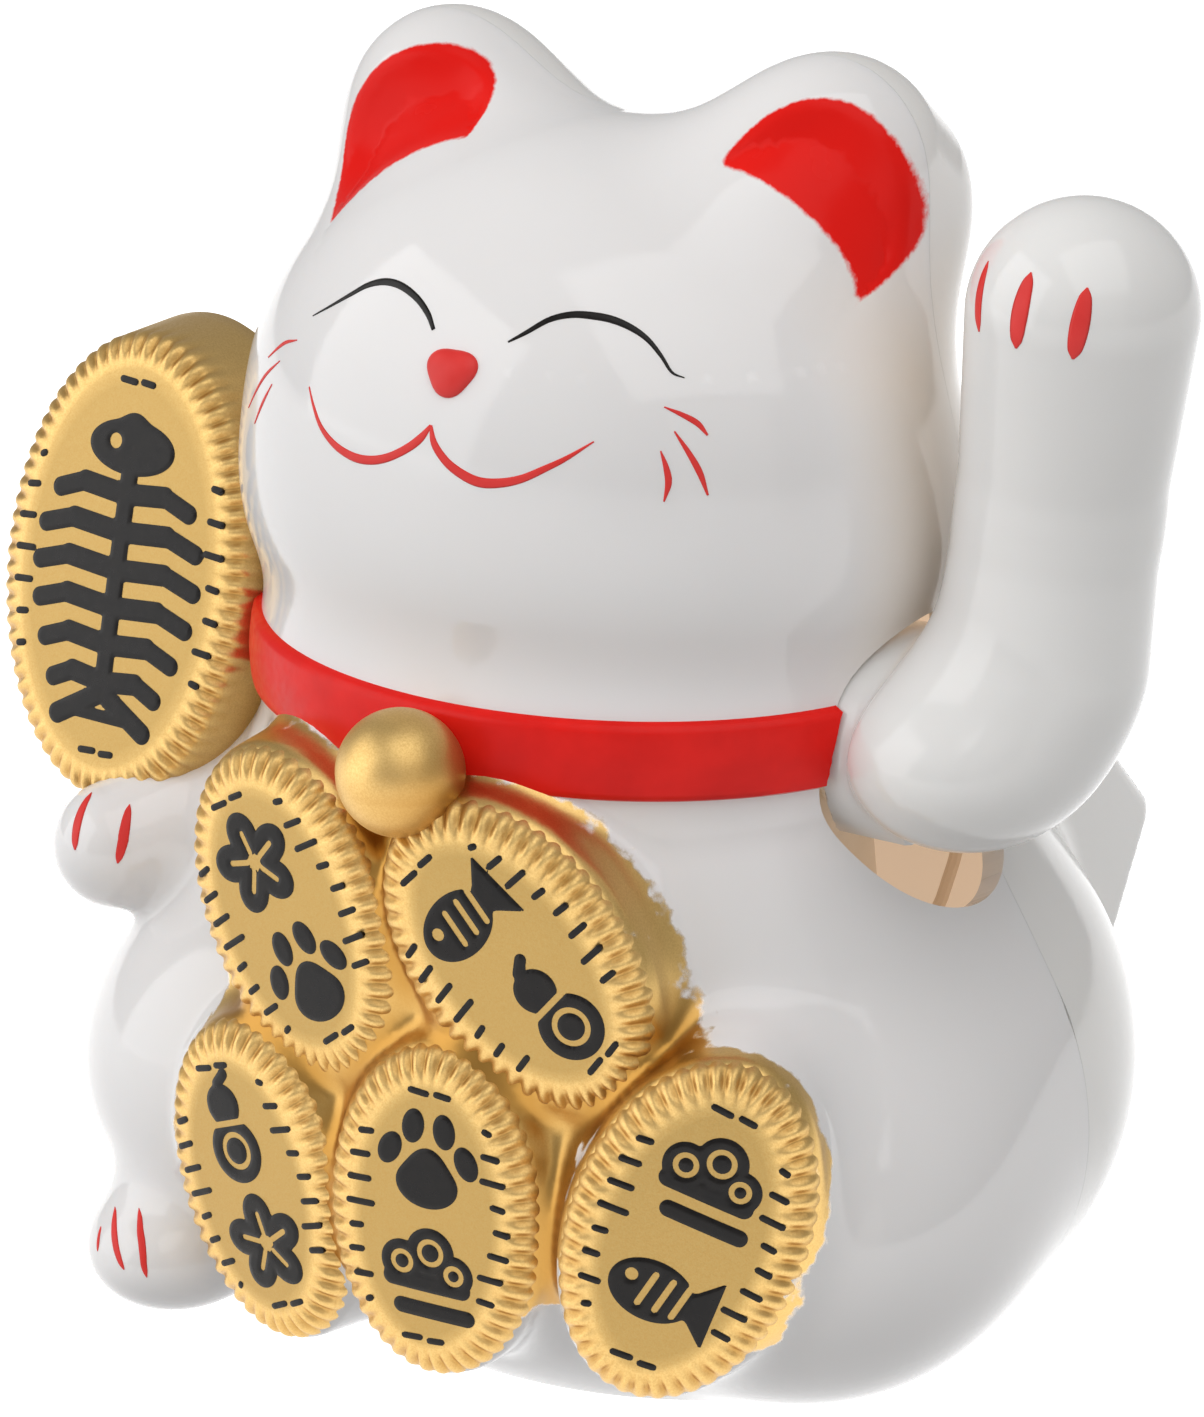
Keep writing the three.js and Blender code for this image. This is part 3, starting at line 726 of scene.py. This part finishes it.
# ---------------------------------------------------------------- collar
def reach(field, level, centre, angle, z):
    """Radius from a vertical centre line at which the field passes a level."""
    lo = np.zeros_like(angle)
    hi = np.full_like(angle, 60.0)
    for _ in range(34):
        mid = (lo + hi) / 2
        p = np.stack([centre[0] + np.cos(angle) * mid, centre[1] + np.sin(angle) * mid, z], -1)
        inside = field(p) < level
        lo, hi = np.where(inside, mid, lo), np.where(inside, hi, mid)
    return (lo + hi) / 2


def collar_piece(name, node, start, stop):
    """A raised band round the neck between two edges, one on the +X and one on the -X side."""
    z0, z1 = COLLAR
    profile = []
    for t in np.linspace(0, 1, 15):
        z = z0 + (z1 - z0) * t
        edge = min(z - z0, z1 - z, 0.7)
        profile.append((z, 0.62 - (0.7 - math.sqrt(max(0.49 - (0.7 - edge) ** 2, 0))) * 1.1))
    profile += [(z1 - 0.1, -0.7), ((z0 + z1) / 2, -0.8), (z0 + 0.1, -0.7)]
    columns = 150
    rings = []
    for z, level in profile:
        ends = []
        for target, centre_angle in ((start(z), 0.0), (stop(z), math.pi)):
            a = np.linspace(centre_angle - 1.0, centre_angle + 1.0, 401)
            r = reach(body_field, level, (0, 2), a, np.full_like(a, z))
            y = 2 + np.sin(a) * r
            best = np.argmin(np.abs(y - target))
            ends.append(a[best])
        angles = np.linspace(ends[0], ends[1] - (2 * math.pi if name.endswith("front") else 0), columns)
        r = reach(body_field, level, (0, 2), angles, np.full_like(angles, z))
        rings.append(np.stack([np.cos(angles) * r, 2 + np.sin(angles) * r, np.full_like(r, z)], -1))
    points = np.concatenate(rings)
    rows = len(profile)
    faces = []
    for i in range(rows):
        k = (i + 1) % rows
        for j in range(columns - 1):
            faces.append((i * columns + j, i * columns + j + 1, k * columns + j + 1, k * columns + j))
    faces.append([i * columns for i in range(rows)])
    faces.append([i * columns + columns - 1 for i in reversed(range(rows))])
    if name.endswith("front"):
        faces = [tuple(reversed(f)) for f in faces]
    obj = make_object(name, points, faces, RED)
    obj.data.set_sharp_from_angle(angle=math.radians(50))
    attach(obj, "figure")
    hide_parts(node)


def slot_edge(sign):
    def y_at(z):
        k = min(abs(z - SLOT[1]) / SLOT[3], 0.98)
        return SLOT[0] + sign * (SLOT[2] * math.sqrt(1 - k * k) + 0.12)
    return y_at


collar_piece("band_front", "collar_front", slot_edge(-1), lambda z: SEAM_Y - SEAM_GAP / 2)
collar_piece("band_rear", "collar_rear", slot_edge(1), lambda z: SEAM_Y + SEAM_GAP / 2)


# ---------------------------------------------------------------- coins
SHOULDER = 1.9
DOME = 0.35
NOTCH_PITCH = 1.42
NOTCH_DEPTH = 0.42


def face_y(x, z, coin):
    k = (x / coin[5]) ** 2 + (z / coin[6]) ** 2
    return -coin[7] - DOME * np.maximum(1 - k, 0)


def coin_piece(coin, node, deep):
    """A coin's face, notched shoulder and side, closed behind."""
    a, b = coin[5], coin[6]
    fine = np.linspace(0, 2 * math.pi, 4001)
    step = np.hypot(np.diff(a * np.cos(fine)), np.diff(b * np.sin(fine)))
    length = np.concatenate([[0], np.cumsum(step)])
    notches = round(length[-1] / NOTCH_PITCH)
    n = notches * 8
    s = np.linspace(0, length[-1], n + 1)[:-1]
    phi = np.interp(s, length, fine)
    rim = np.stack([a * np.cos(phi), b * np.sin(phi)], -1)
    out = unit(np.stack([b * np.cos(phi), a * np.sin(phi)], -1))
    wave = 0.5 + 0.5 * np.cos(s / length[-1] * notches * 2 * math.pi)
    notch = wave**1.5
    rows = []
    inner = rim - out * 3.0
    for t in np.linspace(0.08, 1, 12):
        flat = inner * t
        rows.append((flat[:, 0], face_y(flat[:, 0], flat[:, 1], coin), flat[:, 1], np.zeros(n)))
    for e in np.concatenate([np.linspace(2.75, 1.9, 4), np.linspace(1.65, 0, 11)]):
        flat = rim - out * e
        bend = max(SHOULDER - e, 0)
        y = face_y(flat[:, 0], flat[:, 1], coin) + SHOULDER - math.sqrt(SHOULDER**2 - bend**2)
        lean = math.asin(min(bend / SHOULDER, 1))
        weight = math.exp(-(((e - 1.05) / 0.95) ** 2))
        dent = NOTCH_DEPTH * weight * notch
        flat = flat - out * (dent * math.sin(lean))[:, None]
        rows.append((flat[:, 0], y + dent * math.cos(lean), flat[:, 1], dent / NOTCH_DEPTH))
    last = rows[-1][1]
    reach_back = coin[7] + coin[8] - SHOULDER
    for d in (0.3, 0.8) if not deep else (0.8, 2.5, 4.5, reach_back - 0.9, reach_back - 0.3, reach_back):
        pull = max(d - reach_back + 0.9, 0) ** 2 if deep else 0.0
        flat = rim + out * (COIN_FLARE * d * 2.2 * deep - pull)
        rows.append((flat[:, 0], last + d, flat[:, 1], np.zeros(n)))
    local = np.concatenate([np.stack(r[:3], -1) for r in rows])
    # painted shade: the gold is darker in the dents of the notched shoulder
    painted_shade = np.concatenate([r[3] for r in rows]) * 0.9
    # marks the flat middle of the face, which the gold material paints a darker gold as painted shade
    level = np.repeat([min(max((i - 13) / -3, 0), 1) for i in range(len(rows))], n)
    front = len(local)
    tip = [0, face_y(0, 0, coin), 0]
    back = [0, rows[-1][1].mean(), 0]
    local = np.concatenate([local, [tip], [back]])
    painted_shade = np.append(painted_shade, [0, 0])
    level = np.append(level, [1, 0])
    faces = []
    for i in range(len(rows) - 1):
        for j in range(n):
            k = (j + 1) % n
            faces.append((i * n + j, i * n + k, (i + 1) * n + k, (i + 1) * n + j))
    base = (len(rows) - 1) * n
    for j in range(n):
        k = (j + 1) % n
        faces.append((front, k, j))
        faces.append((front + 1, base + j, base + k))
    points = local @ coin_frame(coin).T + np.array(coin[1], float)
    obj = make_object("face_" + node, points, faces, GOLD, masks={"painted_shade": painted_shade, "flat": level})
    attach(obj, "figure")
    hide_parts(node)
    return obj


def bar(p, a, b, r):
    a = np.array(a, float)
    ab = np.array(b, float) - a
    t = np.clip(((p - a) @ ab) / max(ab @ ab, 1e-9), 0, 1)
    return np.linalg.norm(p - a - t[:, None] * ab, axis=1) - r


def disc(p, c, r):
    return np.linalg.norm(p - np.array(c, float), axis=1) - r


def oval(p, c, rx, ry, deg=0.0):
    t = math.radians(deg)
    q = p - np.array(c, float)
    q = q @ np.array([[math.cos(t), -math.sin(t)], [math.sin(t), math.cos(t)]])
    k0 = np.hypot(q[:, 0] / rx, q[:, 1] / ry)
    k1 = np.hypot(q[:, 0] / rx**2, q[:, 1] / ry**2)
    return k0 * (k0 - 1) / np.maximum(k1, 1e-9)


def paw(p):
    f = smin(oval(p, (0, -0.5), 0.68, 0.5), oval(p, (0, -0.2), 0.4, 0.45), 0.25)
    for x, z, deg in ((-0.84, 0.1, -25), (-0.34, 0.66, -8), (0.34, 0.66, 8), (0.84, 0.1, 25)):
        f = np.minimum(f, oval(p, (x, z), 0.24, 0.36, deg))
    return f


def blossom(p):
    f = np.full(len(p), 9.0)
    for k in range(5):
        t = math.radians(90 + 72 * k)
        f = np.minimum(f, oval(p, (0.6 * math.cos(t), 0.6 * math.sin(t)), 0.46, 0.39, 72 * k + 90))
    for k in range(5):
        t = math.radians(90 + 72 * k)
        c, s = math.cos(t), math.sin(t)
        vein = bar(p, (0.2 * c, 0.2 * s), (0.62 * c, 0.62 * s), 0.06)
        f = np.maximum(f, -vein)
    return np.maximum(f, -disc(p, (0, 0), 0.15))


def fish(p):
    f = oval(p, (-0.2, 0), 0.86, 0.62)
    tail = np.maximum(np.abs(p[:, 1]) - (p[:, 0] - 0.3) * 0.95, p[:, 0] - 1.08)
    f = smin(f, np.maximum(tail, 0.42 - p[:, 0]), 0.12)
    f = np.maximum(f, -disc(p, (-0.66, 0.16), 0.13))
    for x in (-0.36, 0.0, 0.34):
        f = np.maximum(f, -bar(p, (x, -0.34), (x + 0.14, 0.34), 0.065))
    return f


def gourd(p):
    f = smin(disc(p, (0, -0.46), 0.68), disc(p, (0, 0.5), 0.45), 0.1)
    f = np.minimum(f, bar(p, (0, 0.95), (0.26, 1.12), 0.12))
    f = np.maximum(f, -bar(p, (-0.5, 0.12), (0.5, 0.12), 0.065))
    return np.maximum(f, -np.abs(disc(p, (0, -0.46), 0.34)) + 0.06)


def cloud(p):
    f = np.minimum(disc(p, (-0.5, 0.2), 0.46), disc(p, (0.12, 0.5), 0.52))
    f = np.minimum(f, disc(p, (0.64, 0.12), 0.42))
    f = np.minimum(f, bar(p, (-0.72, -0.16), (0.82, -0.16), 0.19))
    f = np.minimum(f, bar(p, (-0.5, -0.74), (0.95, -0.74), 0.17))
    for c, r in (((-0.5, 0.2), 0.2), ((0.12, 0.5), 0.24), ((0.64, 0.12), 0.17)):
        f = np.maximum(f, 0.055 - np.abs(disc(p, c, r)))
    return f


def bones(p):
    """A fish skeleton standing on its tail."""
    f = bar(p, (0, -9.4), (0.3, 8.0), 0.85)
    for i, w in enumerate((6.6, 7.7, 7.9, 7.5, 6.5, 5.2)):
        z = 5.9 - 3.0 * i
        for side in (-1, 1):
            bend = (side * w * 0.62, z + 0.4)
            f = np.minimum(f, bar(p, (0, z), bend, 0.86))
            f = np.minimum(f, bar(p, bend, (side * w, z - 0.5), 0.78))
    head = smin(oval(p, (0.2, 9.6), 4.3, 2.2), disc(p, (0.2, 11.0), 1.3), 0.8)
    f = np.minimum(f, head)
    f = np.maximum(f, -disc(p, (-1.5, 9.9), 0.62))
    for side in (-1, 1):
        f = np.minimum(f, bar(p, (0, -9.9), (side * 4.4, -12.4), 0.85))
    return np.minimum(f, bar(p, (-3.4, -11.8), (3.4, -11.8), 0.5))


DASH_LENGTHS = (1.6, 0.8, 1.3, 2.2, 0.9)
DASH_INSETS = (0.25, 0.5, 0.1, 0.3, 0.2)


def dashes(p, coin, rows, pitch, start, half=0.25):
    """Short strokes in rows down both sides of the motif, and pairs above and below it."""
    f = np.full(len(p), 9.0)
    a, b = coin[5] - 2.0, coin[6] - 2.0
    for i in range(rows):
        z = (i - (rows - 1) / 2) * pitch
        edge = a * math.sqrt(max(1 - (z / b) ** 2, 0))
        for side in (-1, 1):
            kind = (i * 2 + (side > 0)) % 5
            outer = edge - DASH_INSETS[kind]
            length = min(DASH_LENGTHS[kind], outer - start)
            if length > 0.1:
                f = np.minimum(f, bar(p, (side * outer, z), (side * (outer - length), z + 0.12), half))
    for sign in (-1, 1):
        z = sign * b * 0.88
        for x, length in ((-1.6, 1.3), (0.5, 1.0)):
            f = np.minimum(f, bar(p, (x, z), (x + length, z - 0.1 * sign), half))
    return f


def print_piece(coin, node, pattern, step=0.2, lift=0.13):
    a, b = coin[5] - 1.6, coin[6] - 1.6
    xs = np.arange(-a, a + step, step)
    zs = np.arange(-b, b + step, step)
    x, z = np.meshgrid(xs, zs, indexing="ij")
    flat = np.stack([x.ravel(), z.ravel()], -1)
    i, j = np.meshgrid(np.arange(len(xs) - 1), np.arange(len(zs) - 1), indexing="ij")
    c = (i * len(zs) + j).ravel()
    w = len(zs)
    tris = np.concatenate([np.stack([c, c + w, c + w + 1], -1), np.stack([c, c + w + 1, c + 1], -1)])
    flat3 = np.stack([flat[:, 0], np.zeros(len(flat)), flat[:, 1]], -1)
    points, tris = clip(flat3, tris, pattern(flat))
    depth = -pattern(points[:, [0, 2]])
    points[:, 1] = face_y(points[:, 0], points[:, 2], coin) - lift * np.clip(depth / 0.22, 0.25, 1)
    normals = np.tile([0.0, -1.0, 0.0], (len(points), 1))
    both, faces, _ = thicken(points, tris, normals, 0.3)
    world = both @ coin_frame(coin).T + np.array(coin[1], float)
    obj = make_object("print_" + node, world, faces, INK)
    obj.data.set_sharp_from_angle(angle=math.radians(60))
    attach(obj, "figure")
    return obj


MOTIFS = {
    "coin_upper_left": (blossom, paw),
    "coin_upper_right": (fish, gourd),
    "coin_lower_middle": (paw, cloud),
    "coin_lower_right": (cloud, fish),
    "coin_lower_left": (gourd, blossom),
}


MOTIF_SIZE = 3.75
MOTIF_RISE = 4.55
PRINT_TURN = {"coin_upper_left": -10, "coin_upper_right": -10, "coin_lower_left": -8}


def pair_pattern(coin, upper, lower):
    t = math.radians(PRINT_TURN.get(coin[0], 0))
    spin = np.array([[math.cos(t), math.sin(t)], [-math.sin(t), math.cos(t)]])

    def pattern(p):
        q = p @ spin
        f = np.full(len(p), 9.0)
        for shape, z in ((upper, MOTIF_RISE), (lower, -MOTIF_RISE)):
            f = np.minimum(f, shape((q - np.array([0, z])) / MOTIF_SIZE) * MOTIF_SIZE)
        return np.minimum(f, dashes(q, coin, 9, 1.9, MOTIF_SIZE * 1.2))
    return pattern


for coin in COINS:
    coin_piece(coin, coin[0], False)
    print_piece(coin, coin[0], pair_pattern(coin, *MOTIFS[coin[0]]))
coin_piece(BIG_COIN, "big_coin", True)
print_piece(BIG_COIN, "big_coin", lambda p: np.minimum(bones(p), dashes(p, BIG_COIN, 11, 2.55, 8.7, 0.28)))


# ---------------------------------------------------------------- bell
def bell_piece():
    across, down = 72, 40
    points = []
    for i in range(down + 1):
        t = math.pi * i / down
        for j in range(across):
            a = 2 * math.pi * j / across
            points.append((math.sin(t) * math.cos(a), math.sin(t) * math.sin(a), math.cos(t)))
    points = np.array(points) * BELL[1] + np.array(BELL[0])
    faces = []
    for i in range(down):
        for j in range(across):
            k = (j + 1) % across
            faces.append((i * across + j, (i + 1) * across + j, (i + 1) * across + k, i * across + k))
    local = (points - np.array(BELL[0])) / BELL[1]
    # painted shade and highlight: the bell is painted lighter at its top and darker towards its right and
    # lower half, standing in for its highlight and a dark reflection band
    painted_shade = np.clip(0.35 + 0.6 * local[:, 0] - 0.9 * local[:, 2] * (local[:, 2] > -0.2), 0, 1)
    obj = make_object("bell_ball", points, faces, GOLD, masks={"painted_shade": painted_shade})
    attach(obj, "figure")
    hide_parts("bell")


bell_piece()


# ---------------------------------------------------------------- waving arm
def arm_piece():
    points, tris = surface_mesh(arm_field, (21, -14, 43), (51, 12, 98), 0.7)
    obj = make_object("arm_raised", points, tris, ARM_WHITE, unit(gradient(arm_field, points)))
    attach(obj, "swing")
    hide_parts("waving_arm")


arm_piece()


# ---------------------------------------------------------------- painted strokes
def spline(control, n):
    """Catmull-Rom through control rows, n samples."""
    c = np.array(control, float)
    c = np.concatenate([[2 * c[0] - c[1]], c, [2 * c[-1] - c[-2]]])
    t = np.linspace(0, len(c) - 3 - 1e-6, n)
    i = t.astype(int)
    u = (t - i)[:, None]
    p0, p1, p2, p3 = c[i], c[i + 1], c[i + 2], c[i + 3]
    return 0.5 * (
        2 * p1 + (p2 - p0) * u + (2 * p0 - 5 * p1 + 4 * p2 - p3) * u**2 + (3 * p1 - p0 - 3 * p2 + p3) * u**3
    )


def front_of(field, p):
    """Drops points along +Y onto the field's front."""
    p = np.array(p, float)
    p[:, 1] = -40
    for _ in range(80):
        p[:, 1] += np.clip(field(p) * 0.8, -2, 2)
    return p


def stroke(name, control, field, material, body, frontal=True, n=48, lift=0.05):
    """A painted line, a thin lens lying on the field. Its rows are x, y, z and half width, in mm."""
    rows = spline(control, n)
    centre, half = rows[:, :3], np.maximum(rows[:, 3], 0.02)
    centre = front_of(field, centre) if frontal else settle(field, centre)
    along = unit(np.gradient(centre, axis=0))
    normal = unit(gradient(field, centre))
    across = unit(np.cross(normal, along))
    rings = []
    for k, h in ((-1.0, 0.0), (-0.7, 0.75), (-0.3, 1.0), (0.3, 1.0), (0.7, 0.75), (1.0, 0.0)):
        q = settle(field, centre + across * (half * k)[:, None], steps=3)
        rings.append(q + unit(gradient(field, q)) * (0.008 + lift * h))
    for k in (0.6, -0.6):
        q = settle(field, centre + across * (half * k)[:, None], steps=3)
        rings.append(q - normal * 0.12)
    points = np.concatenate(rings)
    faces = []
    m = len(rings)
    for i in range(m):
        k = (i + 1) % m
        for j in range(n - 1):
            faces.append((i * n + j, k * n + j, k * n + j + 1, i * n + j + 1))
    faces.append([i * n for i in reversed(range(m))])
    faces.append([i * n + n - 1 for i in range(m)])
    obj = make_object(name, points, faces, material)
    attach(obj, body)
    return obj


FACE_FRONT = -20.0
# material, then rows of x, z and half width
FACE_STROKES = {
    "eye_right": (INK, [
        (-13.3, 82.7, 0.05), (-11.6, 83.7, 0.12), (-9.8, 84.8, 0.19), (-8.3, 85.7, 0.25),
        (-6.7, 86.2, 0.29), (-5.0, 86.2, 0.28), (-3.2, 85.7, 0.25), (-1.8, 84.9, 0.22),
        (-0.9, 84.0, 0.16),
    ]),
    "eye_left": (INK, [
        (5.2, 83.9, 0.08), (6.3, 84.6, 0.17), (7.6, 85.5, 0.22), (9.0, 85.9, 0.26),
        (10.4, 85.9, 0.29), (11.8, 85.7, 0.28), (13.2, 85.2, 0.24), (14.4, 84.5, 0.19),
        (15.5, 83.5, 0.14), (16.4, 82.5, 0.1), (17.2, 82.15, 0.04),
    ]),
    "mouth_right": (STROKE_RED, [
        (-11.8, 78.2, 0.06), (-10.9, 76.9, 0.15), (-9.8, 75.7, 0.22), (-8.1, 74.8, 0.29),
        (-6.2, 74.4, 0.33), (-4.5, 74.5, 0.33), (-2.9, 75.0, 0.31), (-1.3, 75.9, 0.31),
        (-0.2, 76.8, 0.3), (0.55, 77.8, 0.12),
    ]),
    "mouth_left": (STROKE_RED, [
        (0.55, 77.8, 0.12), (1.0, 76.6, 0.28), (2.1, 75.5, 0.33), (3.4, 74.8, 0.36),
        (4.8, 74.4, 0.37), (6.3, 74.5, 0.34), (7.9, 74.95, 0.29), (9.5, 75.8, 0.24),
        (11.0, 76.7, 0.17), (12.6, 77.9, 0.05),
    ]),
    "whisker_left_1": (STROKE_RED, [
        (16.5, 80.3, 0.05), (17.6, 79.8, 0.17), (18.6, 79.2, 0.21), (19.3, 78.4, 0.08),
    ]),
    "whisker_left_2": (STROKE_RED, [
        (17.4, 78.7, 0.06), (18.4, 77.3, 0.19), (19.2, 75.9, 0.23), (19.8, 74.3, 0.08),
    ]),
    "whisker_left_3": (STROKE_RED, [
        (16.8, 77.4, 0.05), (17.25, 76.3, 0.2), (17.5, 75.2, 0.24), (17.35, 73.9, 0.06),
    ]),
    "whisker_right_1": (STROKE_RED, [
        (-14.5, 80.8, 0.05), (-16.3, 80.1, 0.16), (-18.3, 78.6, 0.06),
    ]),
    "whisker_right_2": (STROKE_RED, [
        (-16.3, 78.9, 0.05), (-18.5, 77.1, 0.17), (-21.0, 74.1, 0.06),
    ]),
    "whisker_right_3": (STROKE_RED, [
        (-16.9, 77.1, 0.05), (-18.2, 75.3, 0.18), (-19.3, 73.5, 0.06),
    ]),
}
for name, (material, rows) in FACE_STROKES.items():
    control = [(x, FACE_FRONT, z, half) for x, z, half in rows]
    stroke(name, control, skin_field, material, "figure")


def claws(prefix, rows, field, body):
    for k, (top, bottom, half) in enumerate(rows):
        top, bottom = np.array(top, float), np.array(bottom, float)
        control = []
        for t, w in ((0, 0.1), (0.16, 0.7), (0.5, 1.0), (0.84, 0.78), (1, 0.15)):
            control.append((*(top + (bottom - top) * t), half * w))
        stroke(prefix + str(k + 1), control, field, STROKE_RED, body, frontal=False, n=24)


claws("claw_raised_", [
    ((35.4, -5.9, 91.0), (35.7, -7.6, 86.3), 0.5),
    ((39.7, -7.4, 91.0), (39.3, -8.8, 85.9), 0.68),
    ((43.7, -6.9, 90.4), (43.4, -8.1, 85.6), 0.68),
], arm_field, "swing")
claws("claw_low_", [
    ((-39.3, -16.5, 38.9), (-39.6, -17.0, 37.1), 0.2),
    ((-36.2, -17.05, 40.2), (-35.6, -20.3, 37.1), 0.42),
    ((-32.8, -16.85, 40.2), (-32.2, -19.4, 36.4), 0.42),
], shell_field, "figure")
claws("claw_foot_", [
    ((-29.5, -26.2, 8.6), (-28.9, -27.2, 7.1), 0.2),
    ((-28.9, -24.7, 9.5), (-25.9, -28.3, 6.7), 0.3),
    ((-26.6, -24.5, 9.7), (-24.2, -27.3, 6.3), 0.3),
], shell_field, "figure")


# ---------------------------------------------------------------- nose
def nose_piece():
    across, down = 48, 16
    points = []
    for i in range(down + 1):
        t = i / down * math.pi / 2
        for j in range(across):
            a = 2 * math.pi * j / across
            corner = 1 + 0.1 * math.cos(3 * a - math.pi / 2)
            x = 1.4 + 2.0 * math.sin(t) * math.cos(a) * corner
            z = 81.55 + 1.6 * math.sin(t) * math.sin(a) * corner
            points.append((x, FACE_FRONT, z, math.cos(t)))
    points = np.array(points)
    base = front_of(skin_field, points[:, :3])
    world = base + unit(gradient(skin_field, base)) * (points[:, 3] * 0.75 - 0.02)[:, None]
    faces = []
    for i in range(down):
        for j in range(across):
            k = (j + 1) % across
            faces.append((i * across + j, (i + 1) * across + j, (i + 1) * across + k, i * across + k))
    obj = make_object("nose", world, faces, STROKE_RED)
    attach(obj, "figure")


nose_piece()


# ---------------------------------------------------------------- CAD nodes that keep their shape
FINISH = {
    "base_plate": ARM_WHITE, "arm_hub": INNER, "arm_axle": STEEL, "pendulum_lever": INNER,
    "counterweight": STEEL, "magnet": STEEL, "movement_frame": INNER, "circuit_board": BOARD,
    "coil_bobbin": BLACK, "drive_coil": COPPER, "capacitor": BLACK, "driver_chip": BLACK,
    "solar_window": CLEAR, "solar_cell": CELL, "cell_tray": INNER, "lead_red": LEAD_RED,
    "lead_black": BLACK, "base_screw_1": STEEL, "base_screw_2": STEEL, "base_screw_3": STEEL,
}
for node, material in FINISH.items():
    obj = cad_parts[node]
    obj.data.materials.clear()
    obj.data.materials.append(material)


# ---------------------------------------------------------------- stage, lights, camera
def floor():
    mesh = bpy.data.meshes.new("floor")
    s = 4.0
    mesh.from_pydata([(-s, -s, 0), (s, -s, 0), (s, s, 0), (-s, s, 0)], [], [(0, 1, 2, 3)])
    n = Nodes("floor_white")
    n.colour(n.mix(n.noise(3, 2), (0.90, 0.90, 0.90), (0.92, 0.92, 0.92)))
    n.set(Roughness=0.7)
    n.bsdf.inputs["Emission Color"].default_value = (1, 1, 1, 1)
    n.set(Emission_Strength=0.9)
    mesh.materials.append(n.material)
    obj = bpy.data.objects.new("floor", mesh)
    bpy.context.scene.collection.objects.link(obj)
    obj.visible_diffuse = False


def area_light(name, place, aim, size, watts, colour=(1, 1, 1)):
    data = bpy.data.lights.new(name, "AREA")
    data.shape = "RECTANGLE"
    data.size, data.size_y = size
    data.energy = watts
    data.color = colour
    obj = bpy.data.objects.new(name, data)
    obj.location = place
    direction = Vector(aim) - Vector(place)
    obj.rotation_euler = direction.to_track_quat("-Z", "Y").to_euler()
    bpy.context.scene.collection.objects.link(obj)


floor()
MID = (0, 0, 0.05)
area_light("overhead", (0.27, -0.21, 0.60), MID, (0.62, 0.62), 1.7)
area_light("key_left", (-0.86, -0.78, 0.5), MID, (1.4, 1.2), 9.4)
area_light("fill_right", (0.8, -0.6, 0.3), MID, (0.6, 0.6), 0.5, (1.0, 0.97, 0.94))

world = bpy.data.worlds.new("studio")
world.use_nodes = True
world.node_tree.nodes["Background"].inputs[0].default_value = (1.0, 1.0, 1.0, 1)
world.node_tree.nodes["Background"].inputs[1].default_value = 0.41
bpy.context.scene.world = world
bpy.context.scene.view_settings.view_transform = "Standard"

AZIMUTH, ELEVATION = math.radians(33), math.radians(19)
TARGET = Vector((0, 0, 54)) * MM
DISTANCE = 343.5 * MM
cam_data = bpy.data.cameras.new("camera")
cam_data.sensor_width = 36
cam_data.lens = 4500 / 1417 * 36
cam_data.shift_x = 2 / 1417
cam_data.shift_y = -53.5 / 1417
cam_data.clip_start = 0.01
cam = bpy.data.objects.new("camera", cam_data)
bpy.context.scene.collection.objects.link(cam)
outward = Vector((
    math.sin(AZIMUTH) * math.cos(ELEVATION),
    -math.cos(AZIMUTH) * math.cos(ELEVATION),
    math.sin(ELEVATION),
))
cam.location = TARGET + outward * DISTANCE
cam.rotation_euler = (-outward).to_track_quat("-Z", "Y").to_euler()
bpy.context.scene.camera = cam
